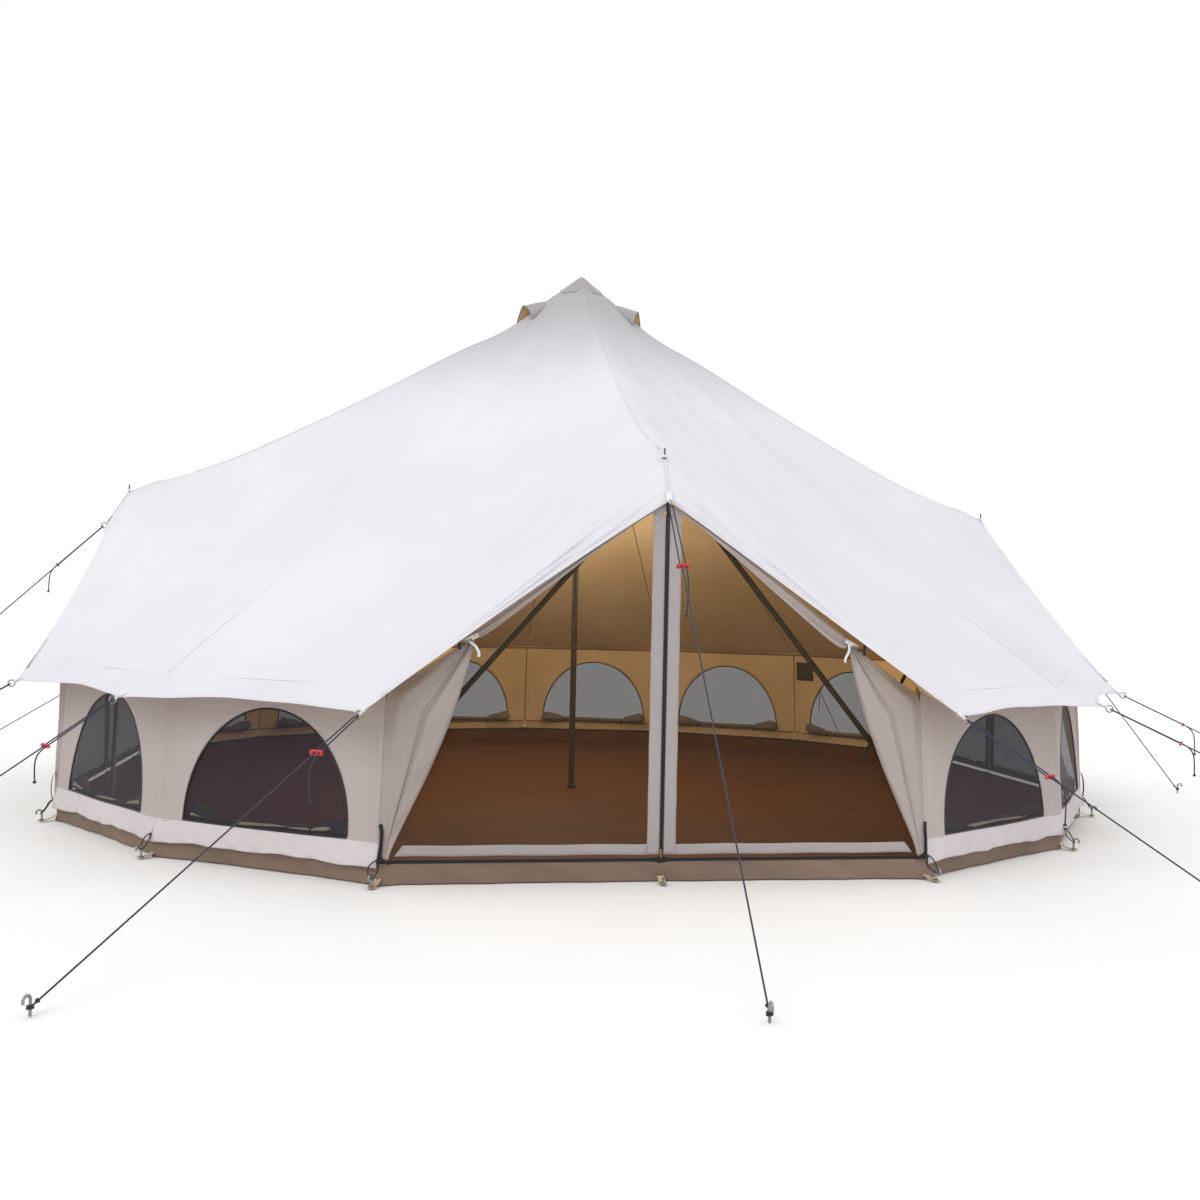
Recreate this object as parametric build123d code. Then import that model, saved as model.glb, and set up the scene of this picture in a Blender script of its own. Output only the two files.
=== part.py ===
from build123d import *
import math
import os

# ---------------------------------------------------------------------------
# Six metre bell tent with three doors, millimetres, +Z up.
# Origin: on the ground under the centre pole. The front door faces -Y, the
# left door -X and the right door +X. An azimuth of 0 is the front and grows
# towards +X, so a point is (r sin a, -r cos a, z).
# ---------------------------------------------------------------------------

# Driving dimensions -------------------------------------------------------
R_BASE = 3000.0        # corner radius of the 16-sided base
STEP_DEG = 22.5        # one side of the base
DOORS = {"front": 0.0, "right": 90.0, "left": -90.0}
PEAK_Z = 3195.0        # top of the canvas cone
WALL_TOP_R = 2950.0    # corner radius of the seam between wall and roof
WALL_TOP_Z = 790.0
EAVE_R = 3195.0        # corner radius of the free eave edge
EAVE_Z = 702.0
SPIKE_R = 2680.0       # door frame apex, where its spike leaves the canvas
SPIKE_Z = 1760.0
LIP_R = 2800.0         # front tip of the hood over a door
LIP_Z = 1570.0
CANVAS_T = 3.0         # canvas stand-in thickness
PANEL_GAP = 4.0        # each canvas panel stops this far from its seam line

FLOOR_T = 4.0          # groundsheet floor
TUB_H = 89.0           # top of the groundsheet's upstand
ZIP_H = 6.0            # zip between the upstand and the wall
WALL_BASE_Z = 97.0

DOOR_PLANE = R_BASE * math.cos(math.radians(STEP_DEG))   # 2771.6
DOOR_HALF = R_BASE * math.sin(math.radians(STEP_DEG))    # 1148.1
LEAF_T = 2.0
LEAF_TOP_Z = 1525.0
LEAF_TOP_X = 12.0
LEAF_BOT_Z = 115.0
LEAF_BOT_X = 1088.0
HINGE_GAP = 4.0        # clearance each side of the leaf's fold line

WIN_BOT_Z = 175.0      # window outline in its wall panel
WIN_TOP_Z = 672.0
WIN_HALF_BOT = 430.0
WIN_HALF_MID = 428.0
WIN_MID_Z = 190.0

POLE_OD = 38.0
POLE_TOP_OD = 34.0
POLE_WALL = 1.5
POLE_SPLIT_Z = 1600.0
POLE_LAP = 150.0
LEG_OD = 25.0
LEG_FOOT_R = 2840.0
LEG_FOOT_AZ = 30.5
SPIKE_D = 8.0
SPIKE_TOP_Z = 1800.0

ROPE_D = 6.0
ROPE_BEND_R = 13.0     # centreline radius of the turn through the ring
RING_MAJOR = 16.0
RING_MINOR = 3.0
PEG_D = 9.0
PEG_H = 62.0
PEG_HOOK_R = 13.0
TENS = (56.0, 20.0, 8.0)
TENS_HOLE_R = 3.8

# Guy lines: name, azimuth of the top, kind, azimuth it runs along, ground
# run in mm, distance of the tensioner below the ring, tail length factor.
GUYS = [
    ("front_lip", 0.0, "lip", -1.7, 1760.0, 385.0, 1.00),
    ("left_lip", -90.0, "lip", -84.0, 1600.0, 330.0, 0.80),
    ("right_lip", 90.0, "lip", 80.0, 1190.0, 360.0, 0.90),
    ("front_left_1", -22.5, "eave", -30.0, 1600.0, 285.0, 0.95),
    ("front_left_2", -45.0, "eave", -45.0, 1180.0, 330.0, 0.75),
    ("front_left_3", -67.5, "eave", -62.0, 1180.0, 330.0, 0.85),
    ("front_right_1", 22.5, "eave", 27.5, 1420.0, 420.0, 1.00),
    ("front_right_2", 45.0, "eave", 52.0, 1480.0, 330.0, 0.80),
    ("front_right_3", 67.5, "eave", 58.0, 1430.0, 330.0, 0.90),
    ("rear_left_1", -112.5, "eave", -112.5, 1250.0, 320.0, 0.90),
    ("rear_left_2", -135.0, "eave", -137.0, 640.0, 260.0, 0.75),
    ("rear_left_3", -157.5, "eave", -158.5, 640.0, 265.0, 0.95),
    ("rear_centre", 180.0, "eave", 179.0, 640.0, 260.0, 0.85),
    ("rear_right_3", 157.5, "eave", 159.0, 640.0, 255.0, 0.90),
    ("rear_right_2", 135.0, "eave", 134.0, 640.0, 262.0, 0.80),
    ("rear_right_1", 112.5, "eave", 114.0, 760.0, 268.0, 1.00),
]

os.makedirs("parts", exist_ok=True)


# Helpers ------------------------------------------------------------------
def pt(az, r, z=0.0):
    a = math.radians(az)
    return Vector(r * math.sin(a), -r * math.cos(a), z)


def unit(v):
    return v / v.length


def newell(points):
    n = Vector(0, 0, 0)
    for i, p in enumerate(points):
        n = n + p.cross(points[(i + 1) % len(points)])
    return unit(n)


def inset(points, d):
    """Move every edge of a flat polygon inwards by its own distance."""
    n = newell(points)
    count = len(points)
    if not isinstance(d, (list, tuple)):
        d = [d] * count
    lines = []
    for i, p in enumerate(points):
        q = points[(i + 1) % count]
        t = unit(q - p)
        lines.append((p + n.cross(t) * d[i], t))
    out = []
    for i in range(count):
        p, t = lines[i - 1]
        q, s = lines[i]
        w = q - p
        det = t.cross(s).dot(n)
        k = w.cross(s).dot(n) / det
        out.append(p + t * k)
    return out


def plate(points, thick, gap=PANEL_GAP, away=Vector(0, 0, 900)):
    """A flat panel with its inner face on the polygon, growing away from a point."""
    points = inset(points, gap)
    n = newell(points)
    middle = sum(points, Vector(0, 0, 0)) / len(points)
    if n.dot(middle - away) < 0:
        n = n * -1
    face = Face(Wire.make_polygon(points, close=True))
    return extrude(face, amount=thick, dir=n)


def turned(shape, az):
    return shape.rotate(Axis.Z, az)


def save(node, solids):
    solids = list(solids)
    flat = []
    for s in solids:
        flat.extend(s.solids())
    export_step(flat[0] if len(flat) == 1 else Compound(flat), f"parts/{node}.step")


def door_pt(x, z, out=0.0):
    """A point in the front door's own plane, out mm in front of it."""
    return Vector(x, -DOOR_PLANE - out, z)


# Corners of the base: all sixteen but the middles of the three doors.
CORNERS = [k * STEP_DEG for k in range(16)]
CORNERS = [(a if a <= 180 else a - 360) for a in CORNERS]
CORNERS = sorted(a for a in CORNERS if a not in (0.0, 90.0, -90.0))
SIDES = []
for i, a in enumerate(CORNERS):
    b = CORNERS[(i + 1) % len(CORNERS)]
    span = (b - a) % 360
    SIDES.append((a, a + span, span > 30))
PANEL_SIDES = [(a, b) for a, b, door in SIDES if not door]

PEAK = Vector(0, 0, PEAK_Z)

# Groundsheet: floor, upstand and its zip ----------------------------------
floor_pts = [pt(a, R_BASE - 6.0, 0.0) for a in CORNERS]
floor = extrude(Face(Wire.make_polygon(floor_pts, close=True)), amount=FLOOR_T, dir=(0, 0, 1))
upstand = []
for a, b, door in SIDES:
    quad = [pt(a, R_BASE - 4, FLOOR_T + 1), pt(b, R_BASE - 4, FLOOR_T + 1),
            pt(b, R_BASE - 4, TUB_H), pt(a, R_BASE - 4, TUB_H)]
    upstand.append(plate(quad, 3.0, [0.0, 3.0, 0.0, 3.0], away=Vector(0, 0, 40)))
save("groundsheet", [floor] + upstand)

zips = []
for a, b, door in SIDES:
    quad = [pt(a, R_BASE - 4, TUB_H + 0.6), pt(b, R_BASE - 4, TUB_H + 0.6),
            pt(b, R_BASE - 4, TUB_H + 0.6 + ZIP_H), pt(a, R_BASE - 4, TUB_H + 0.6 + ZIP_H)]
    zips.append(plate(quad, 3.5, [0.0, 3.0, 0.0, 3.0], away=Vector(0, 0, 40)))
save("groundsheet_zip", zips)


# Walls, windows and their rolled covers -----------------------------------
def window_outline(grow=0.0):
    """Arch outline in the panel's own plane: x along the chord, y = height."""
    pts = [(-WIN_HALF_BOT - grow, WIN_BOT_Z - grow), (WIN_HALF_BOT + grow, WIN_BOT_Z - grow)]
    steps = 14
    for k in range(steps + 1):
        t = math.pi * k / steps
        pts.append(((WIN_HALF_MID + grow) * math.cos(t),
                    WIN_MID_Z + (WIN_TOP_Z + grow - WIN_MID_Z) * math.sin(t)))
    return pts


def wall_frame(a, b):
    """Origin at the panel's foot, x along the chord, y up the wall, z outwards."""
    p0, p1 = pt(a, R_BASE, WALL_BASE_Z), pt(b, R_BASE, WALL_BASE_Z)
    q0, q1 = pt(a, WALL_TOP_R, WALL_TOP_Z), pt(b, WALL_TOP_R, WALL_TOP_Z)
    foot, head = (p0 + p1) / 2, (q0 + q1) / 2
    up = unit(head - foot)
    along = unit(p1 - p0)
    normal = along.cross(up)
    if normal.dot(foot) < 0:
        normal = normal * -1
    # local frame with its origin where height is zero
    origin = foot - up * (WALL_BASE_Z / up.Z)
    return origin, along, up, normal


walls, screens, rolls = [], [], []
for a, b in PANEL_SIDES:
    p0, p1 = pt(a, R_BASE, WALL_BASE_Z), pt(b, R_BASE, WALL_BASE_Z)
    q0, q1 = pt(a, WALL_TOP_R, WALL_TOP_Z), pt(b, WALL_TOP_R, WALL_TOP_Z)
    wall = plate([p0, p1, q1, q0], CANVAS_T)
    origin, along, up, normal = wall_frame(a, b)

    def lay(points):
        return [origin + along * x + up * (y / up.Z) for x, y in points]

    hole = extrude(Face(Wire.make_polygon(lay(window_outline()), close=True)),
                   amount=20, dir=normal, both=True)
    walls.append(wall - hole)
    screen = extrude(Face(Wire.make_polygon(lay(window_outline(-2.0)), close=True)),
                     amount=1.5, dir=normal)
    screens.append(screen)
    centre = origin + up * ((WIN_BOT_Z + 22.0) / up.Z) - normal * 30.0
    roll = Plane(origin=centre - along * 420, x_dir=up, z_dir=along) * Circle(22.0)
    rolls.append(extrude(roll, amount=840, dir=along))
save("wall_panels", walls)
save("window_screens", screens)
save("window_cover_rolls", rolls)


# Roof: cone panels, door gables and the free eave ------------------------
def down(top, bottom, z):
    """The point at height z on the line from top to bottom."""
    k = (z - top.Z) / (bottom.Z - top.Z)
    return top + (bottom - top) * k


CAP_Z = 3080.0
roof = []
for a, b in PANEL_SIDES:
    va, vb = pt(a, WALL_TOP_R, WALL_TOP_Z + 6), pt(b, WALL_TOP_R, WALL_TOP_Z + 6)
    roof.append(plate([down(PEAK, va, CAP_Z), down(PEAK, vb, CAP_Z), vb, va], CANVAS_T))
    ea, eb = pt(a, EAVE_R, EAVE_Z), pt(b, EAVE_R, EAVE_Z)
    roof.append(plate([va, vb, eb, ea], CANVAS_T, away=Vector(0, 0, -3000)))
hoods = []
for name, az in DOORS.items():
    spike = pt(az, SPIKE_R, SPIKE_Z)
    lip = pt(az, LIP_R, LIP_Z)
    bore = Pos(spike.X, spike.Y, SPIKE_Z) * Cylinder(17.0, 160.0)
    for side in (-1, 1):
        corner = az + side * STEP_DEG
        v = pt(corner, WALL_TOP_R, WALL_TOP_Z + 6)
        e = pt(corner, EAVE_R, EAVE_Z)
        roof.append(plate([down(PEAK, spike, CAP_Z), spike, v, down(PEAK, v, CAP_Z)], CANVAS_T) - bore)
        roof.append(plate([spike, e, v], CANVAS_T, away=Vector(0, 0, -3000)) - bore)
        hoods.append(plate([spike, lip, e], CANVAS_T) - bore)
save("roof_canopy", roof)
save("door_hoods", hoods)

# Cap sewn over the peak, a thin cone
slope = (PEAK_Z - WALL_TOP_Z) / WALL_TOP_R
cap_profile = Face(Wire.make_polygon([
    Vector(0.0, 0, PEAK_Z + 4), Vector(131.0, 0, PEAK_Z + 4 - 131.0 * slope),
    Vector(128.0, 0, PEAK_Z - 128.0 * slope), Vector(0.0, 0, PEAK_Z)], close=True))
save("peak_cap", [revolve(cap_profile, Axis.Z, 360)])

# Roof vents: a hooded scoop over each side ridge, open at its lower end ----
VENT_R0, VENT_R1 = 215.0, 400.0
vents = []
for az in (90.0, -90.0):
    spike = pt(az, SPIKE_R, SPIKE_Z)
    ridge = unit(spike - PEAK)
    side = pt(az + 90, 1.0)
    nrm = unit(side.cross(ridge))
    if nrm.Z < 0:
        nrm = nrm * -1
    start = PEAK + ridge * (VENT_R0 / math.hypot(ridge.X, ridge.Y)) + nrm * 7.0
    length = (VENT_R1 - VENT_R0) / math.hypot(ridge.X, ridge.Y)
    arch = []
    count = 5
    for k in range(count + 1):
        t = math.pi * k / count
        arch.append((95.0 * math.cos(t), 78.0 * math.sin(t)))
    for k in range(count):
        (x0, h0), (x1, h1) = arch[k], arch[k + 1]
        quad = [start + side * x0 + nrm * h0, start + side * x1 + nrm * h1,
                start + side * x1 + nrm * h1 + ridge * length,
                start + side * x0 + nrm * h0 + ridge * length]
        vents.append(plate(quad, CANVAS_T, [1.0, 2.0, 1.0, 2.0], away=start + ridge * (length / 2)))
    back = [start + side * x * 0.93 + nrm * (h * 0.93 + 1.0) - ridge * 5.0 for x, h in arch]
    vents.append(extrude(Face(Wire.make_polygon(back, close=True)), amount=3.0, dir=ridge))
save("roof_vents", vents)

# Centre pole: two tubes, the upper one sliding 150 mm into the lower -------
lower = Pos(0, 0, (16.4 + POLE_SPLIT_Z) / 2) * (
    Cylinder(POLE_OD / 2, POLE_SPLIT_Z - 16.4) - Cylinder(POLE_OD / 2 - POLE_WALL, POLE_SPLIT_Z))
up_bottom, up_top = POLE_SPLIT_Z - POLE_LAP, 3150.0
upper = Pos(0, 0, (up_bottom + up_top) / 2) * (
    Cylinder(POLE_TOP_OD / 2, up_top - up_bottom) - Cylinder(POLE_TOP_OD / 2 - POLE_WALL, up_top))
knob = Pos(0, 0, 3150.4 + 8) * Cylinder(POLE_TOP_OD / 2, 16)
save("centre_pole_sections", [lower, upper])

# Rubber feet: one under the centre pole, six under the door frames, and the
# button on top of the centre pole
feet = [Pos(0, 0, FLOOR_T + 0.2 + 6) * Cylinder(30, 12), knob]

# Door frames: two legs meeting in an elbow that carries the spike ---------
legs, elbows = [], []
apex = Vector(0, -SPIKE_R, SPIKE_Z - 42.0)
for name, az in DOORS.items():
    parts_elbow = []
    for sgn in (-1, 1):
        foot = pt(sgn * LEG_FOOT_AZ, LEG_FOOT_R, FLOOR_T + 24.0)
        d = unit(foot - apex)
        total = (foot - apex).length
        ring = Plane(origin=apex + d * 131, z_dir=d) * Circle(LEG_OD / 2)
        core = Plane(origin=apex + d * 131, z_dir=d) * Circle(LEG_OD / 2 - POLE_WALL)
        leg = extrude(ring, amount=total - 131, dir=d) - extrude(core, amount=total - 131, dir=d)
        legs.append(turned(leg, az))
        sleeve = Plane(origin=apex, z_dir=d) * Circle(LEG_OD / 2 + 2.5)
        parts_elbow.append(extrude(sleeve, amount=130, dir=d))
        cup = Pos(foot.X, foot.Y, FLOOR_T + 0.3 + 4.0) * Cylinder(22, 8)
        feet.append(turned(cup, az))
    parts_elbow.append(Pos(apex.X, apex.Y, apex.Z) * Sphere(LEG_OD / 2 + 4))
    spike_len = SPIKE_TOP_Z - apex.Z
    parts_elbow.append(Pos(apex.X, apex.Y, apex.Z + spike_len / 2) * Cylinder(SPIKE_D / 2, spike_len))
    elbow = parts_elbow[0] + parts_elbow[1] + parts_elbow[2] + parts_elbow[3]
    elbows.append(turned(elbow, az))
save("door_frame_legs", legs)
save("door_frame_elbows", elbows)
save("pole_feet", feet)

# Doors ---------------------------------------------------------------------
fold_dir = unit(Vector(-LEAF_BOT_X + LEAF_TOP_X, 0, LEAF_BOT_Z - LEAF_TOP_Z))   # left leaf, downwards
fold_nrm = Vector(-fold_dir.Z, 0, fold_dir.X)                                   # in the door plane
if fold_nrm.X < 0:
    fold_nrm = fold_nrm * -1
top_c, bot_c = door_pt(-LEAF_TOP_X, LEAF_TOP_Z), door_pt(-LEAF_BOT_X, LEAF_BOT_Z)


def on_fold(z, shift):
    """Point of the left leaf's fold line at height z, moved across it."""
    base = top_c + fold_nrm * shift
    k = (z - base.Z) / fold_dir.Z
    return base + fold_dir * k


def on_fold_x(x, shift):
    base = top_c + fold_nrm * shift
    k = (x - base.X) / fold_dir.X
    return base + fold_dir * k


def slab(points, thick):
    """A flat piece in the door plane, its thickness centred on it."""
    face = Face(Wire.make_polygon(points, close=True))
    return extrude(face, amount=thick / 2, dir=(0, -1, 0), both=True)


leaf_l = slab([on_fold(LEAF_BOT_Z, HINGE_GAP / 2), door_pt(-5.0, LEAF_BOT_Z), on_fold_x(-5.0, HINGE_GAP / 2)], LEAF_T)
gusset_l = slab([
    on_fold_x(-24.0, -HINGE_GAP / 2), door_pt(-24.0, 1560.0), door_pt(-407.0, 1368.0),
    door_pt(-1096.0, 786.0), door_pt(-1134.0, 750.0), door_pt(-1134.0, 106.0),
    on_fold(106.0, -HINGE_GAP / 2)], LEAF_T)
flap_pts = [(-1124, 112), (-1108, 112), (-868, 672), (-790, 988), (-806, 1006), (-1124, 742)]
flap_face = Face(Wire.make_polygon([door_pt(x, z, 5.0) for x, z in flap_pts], close=True))
flap_l = extrude(flap_face, amount=24.0, dir=(0, -1, 0))
tie_l = Pos(-846, -DOOR_PLANE - 5 - 24 - 9, 968) * Rot(0, 0, 0) * Cylinder(6.5, 46)

gussets, flaps, ties = [], [], []
for name, az in DOORS.items():
    for tag, flip in (("l", False), ("r", True)):
        def place(shape):
            s = mirror(shape, about=Plane.YZ) if flip else shape
            return turned(s, az)
        save(f"mesh_leaf_{name}_{tag}", [place(leaf_l)])
        gussets.append(place(gusset_l))
        flaps.append(place(flap_l))
        ties.append(place(tie_l))
    # zip slider, parked at the foot of the left leaf's edge
    body = Pos(-9.5, -DOOR_PLANE - LEAF_T / 2 - 4.5, 128) * Box(8.5, 7.0, 16.0)
    pull = Pos(-9.5, -DOOR_PLANE - LEAF_T / 2 - 9.5, 116) * Box(6.0, 3.2, 34.0)
    save(f"zip_slider_{name}", [turned(body + pull, az)])
save("door_mesh_gussets", gussets)
save("door_tied_flaps", flaps)
save("door_flap_toggles", ties)


# Pegs ----------------------------------------------------------------------
def peg(x, y, out_az, height=PEG_H):
    """A hooked stake's part above ground, its hook turned away from the tent."""
    o = pt(out_az, 1.0)
    base = Vector(x, y, 0)
    top = base + Vector(0, 0, height - PEG_HOOK_R - PEG_D / 2)
    c = top + o * PEG_HOOK_R
    path = Wire([
        Edge.make_line(base, top),
        ThreePointArc(top, c + Vector(0, 0, PEG_HOOK_R), c + o * PEG_HOOK_R).edges()[0],
        Edge.make_line(c + o * PEG_HOOK_R, c + o * PEG_HOOK_R - Vector(0, 0, 8)),
    ])
    return sweep(Plane(origin=base, z_dir=(0, 0, 1)) * Circle(PEG_D / 2), path=path)


base_pegs = []
for a in CORNERS:
    p = pt(a, R_BASE + 62)
    base_pegs.append(peg(p.X, p.Y, a))
for az in DOORS.values():
    p = pt(az, DOOR_PLANE + 52)
    base_pegs.append(peg(p.X, p.Y, az, 34.0))
save("base_pegs", base_pegs)

# Guy lines -----------------------------------------------------------------
rings, guy_pegs = [], []
for name, az, kind, run_az, run, t_dist, tail_k in GUYS:
    top = pt(az, EAVE_R + 2, EAVE_Z + 2) if kind == "eave" else pt(az, LIP_R + 2, LIP_Z)
    run_dir = pt(run_az, 1.0)
    foot_z = 26.0
    ground = top + run_dir * run
    d = unit(Vector(ground.X, ground.Y, foot_z) - top)
    s = unit(d.cross(Vector(0, 0, 1)))
    n = d.cross(s)
    uc = top + d * 38.0
    length = (foot_z - uc.Z) / d.Z
    b = ROPE_BEND_R
    start = uc + s * b + d * length
    t_at = uc + d * t_dist
    q0 = uc - s * b + d * (t_dist + 34)
    # the tail leaves the tensioner in line with the rope, then hangs down
    def toward(v, w, k):
        return unit(v * (1 - k) + w * k)
    dn = Vector(0, 0, -1)
    q1 = q0 + toward(d, dn, 0.45) * (46 * tail_k)
    q2 = q1 + toward(d, dn, 0.88) * (58 * tail_k)
    side = 0.10 if len(name) % 2 else -0.12
    q3 = q2 + unit(dn + s * side) * (64 * tail_k)
    pts = [start, uc + s * b - d * b, uc - s * b - d * b, q0, q1, q2, q3]
    radii = [b - 0.1, b - 0.1]
    for i in range(3, 6):
        a0, a1 = pts[i] - pts[i - 1], pts[i + 1] - pts[i]
        half = math.radians(a0.get_angle(a1)) / 2
        radii.append(0.45 * min(a0.length, a1.length) / math.tan(half))
    path = FilletPolyline(*pts, radius=radii)
    section = Plane(origin=pts[0], z_dir=unit(pts[1] - pts[0])) * Circle(ROPE_D / 2)
    rope = sweep(section, path=path.wire() if hasattr(path, "wire") else path)
    want = math.pi * (ROPE_D / 2) ** 2 * path.length
    print(f"guy_rope_{name}: length {path.length:.0f} mm, radii {[round(r) for r in radii]}, "
          f"volume ratio {rope.volume / want:.4f}")
    print(f"  route {[tuple(round(c, 1) for c in p) for p in pts]}")
    print(f"  slide axis {tuple(round(c, 6) for c in (d * -1))} tensioner at {tuple(round(c, 1) for c in t_at)}")
    save(f"guy_rope_{name}", [rope])
    ring = Plane(origin=uc - d * RING_MAJOR, x_dir=d, z_dir=s) * Torus(RING_MAJOR, RING_MINOR)
    rings.append(ring)
    frame = Plane(origin=t_at, x_dir=s, z_dir=d)
    block = Box(TENS[0], TENS[1], TENS[2])
    block = fillet(block.edges().filter_by(Axis.Z), 8.0)
    block = block - Pos(b, 0, 0) * Cylinder(TENS_HOLE_R, 40) - Pos(-b, 0, 0) * Cylinder(TENS_HOLE_R, 40)
    save(f"guy_tensioner_{name}", [frame * block])
    dh = unit(Vector(d.X, d.Y, 0))
    stake = start + dh * (PEG_D / 2 + ROPE_D / 2 * abs(d.Z) + 1.2)
    out_az = math.degrees(math.atan2(dh.X, -dh.Y))
    guy_pegs.append(peg(stake.X, stake.Y, out_az))
save("guy_rings", rings)
save("guy_pegs", guy_pegs)
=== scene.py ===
import math

import bmesh
import bpy
import numpy as np
from mathutils import Matrix, Vector


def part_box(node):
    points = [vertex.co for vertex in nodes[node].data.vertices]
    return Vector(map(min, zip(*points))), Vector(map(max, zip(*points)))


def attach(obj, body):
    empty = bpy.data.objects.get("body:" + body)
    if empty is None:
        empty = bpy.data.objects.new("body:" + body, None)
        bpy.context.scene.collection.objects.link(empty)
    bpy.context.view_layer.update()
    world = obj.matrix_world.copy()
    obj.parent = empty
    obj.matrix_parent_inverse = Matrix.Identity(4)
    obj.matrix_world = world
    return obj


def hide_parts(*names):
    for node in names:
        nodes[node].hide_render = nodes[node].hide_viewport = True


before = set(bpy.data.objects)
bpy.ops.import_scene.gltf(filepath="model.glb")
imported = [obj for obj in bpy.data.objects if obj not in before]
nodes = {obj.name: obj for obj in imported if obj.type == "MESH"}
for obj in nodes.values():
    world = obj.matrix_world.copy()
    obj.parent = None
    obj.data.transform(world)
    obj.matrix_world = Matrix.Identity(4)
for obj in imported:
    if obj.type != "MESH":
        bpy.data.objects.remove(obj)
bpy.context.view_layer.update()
C = bpy.context.scene.collection
rng = np.random.default_rng(7)

# ---------------------------------------------------------------------------
# Sizes shared with the CAD model, metres
# ---------------------------------------------------------------------------
R_BASE, STEP = 3.0, 22.5
PEAK_Z = 3.195
SEAM_R, SEAM_Z = 2.950, 0.796
EAVE_R, EAVE_Z = 3.195, 0.702
SPIKE_R, SPIKE_Z = 2.680, 1.760
LIP_R, LIP_Z = 2.800, 1.570
DOOR_Y = R_BASE * math.cos(math.radians(STEP))
DOOR_HALF = R_BASE * math.sin(math.radians(STEP))
DOORS = {"front": 0.0, "right": 90.0, "left": -90.0}
CORNERS = [a for a in np.arange(-157.5, 181, STEP) if a not in (0.0, 90.0, -90.0)]
PANELS = [(a, a + STEP) for a in np.arange(-180, 180, STEP)
          if not any(abs(((a + STEP / 2 - d) + 180) % 360 - 180) < STEP for d in DOORS.values())]


def pt(az, r, z=0.0):
    a = math.radians(az)
    return np.array([r * math.sin(a), -r * math.cos(a), z])


def unit(v):
    v = np.asarray(v, float)
    return v / np.linalg.norm(v)


def smooth(t):
    t = np.clip(t, 0, 1)
    return t * t * (3 - 2 * t)


def turn(points, az):
    """Points made for the front, turned about the centre pole to another door."""
    a = math.radians(az)
    p = np.asarray(points, float)
    out = p.copy()
    out[..., 0] = p[..., 0] * math.cos(a) - p[..., 1] * math.sin(a)
    out[..., 1] = p[..., 0] * math.sin(a) + p[..., 1] * math.cos(a)
    return out


# ---------------------------------------------------------------------------
# Camera
# ---------------------------------------------------------------------------
cam_data = bpy.data.cameras.new("camera")
cam_data.lens = 38.63
cam_data.sensor_width = 36.0
cam_data.clip_end = 200.0
cam = bpy.data.objects.new("camera", cam_data)
C.objects.link(cam)
yaw, pitch, roll = (math.radians(a) for a in (8.92178, 0.45030, 1.20227))
fwd = Vector((math.sin(yaw) * math.cos(pitch), math.cos(yaw) * math.cos(pitch), math.sin(pitch)))
right = Vector((math.cos(yaw), -math.sin(yaw), 0))
up = right.cross(fwd)
x2 = right * math.cos(roll) + up * math.sin(roll)
y2 = up * math.cos(roll) - right * math.sin(roll)
rot = Matrix((x2, y2, -fwd)).transposed()
cam.matrix_world = Matrix.Translation((-1.09306, -7.97439, 1.11502)) @ rot.to_4x4()
bpy.context.scene.camera = cam


# ---------------------------------------------------------------------------
# Materials
# ---------------------------------------------------------------------------
def srgb(r, g, b):
    return tuple((c / 255 / 12.92) if c / 255 <= 0.04045 else ((c / 255 + 0.055) / 1.055) ** 2.4 for c in (r, g, b)) + (1.0,)


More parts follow.
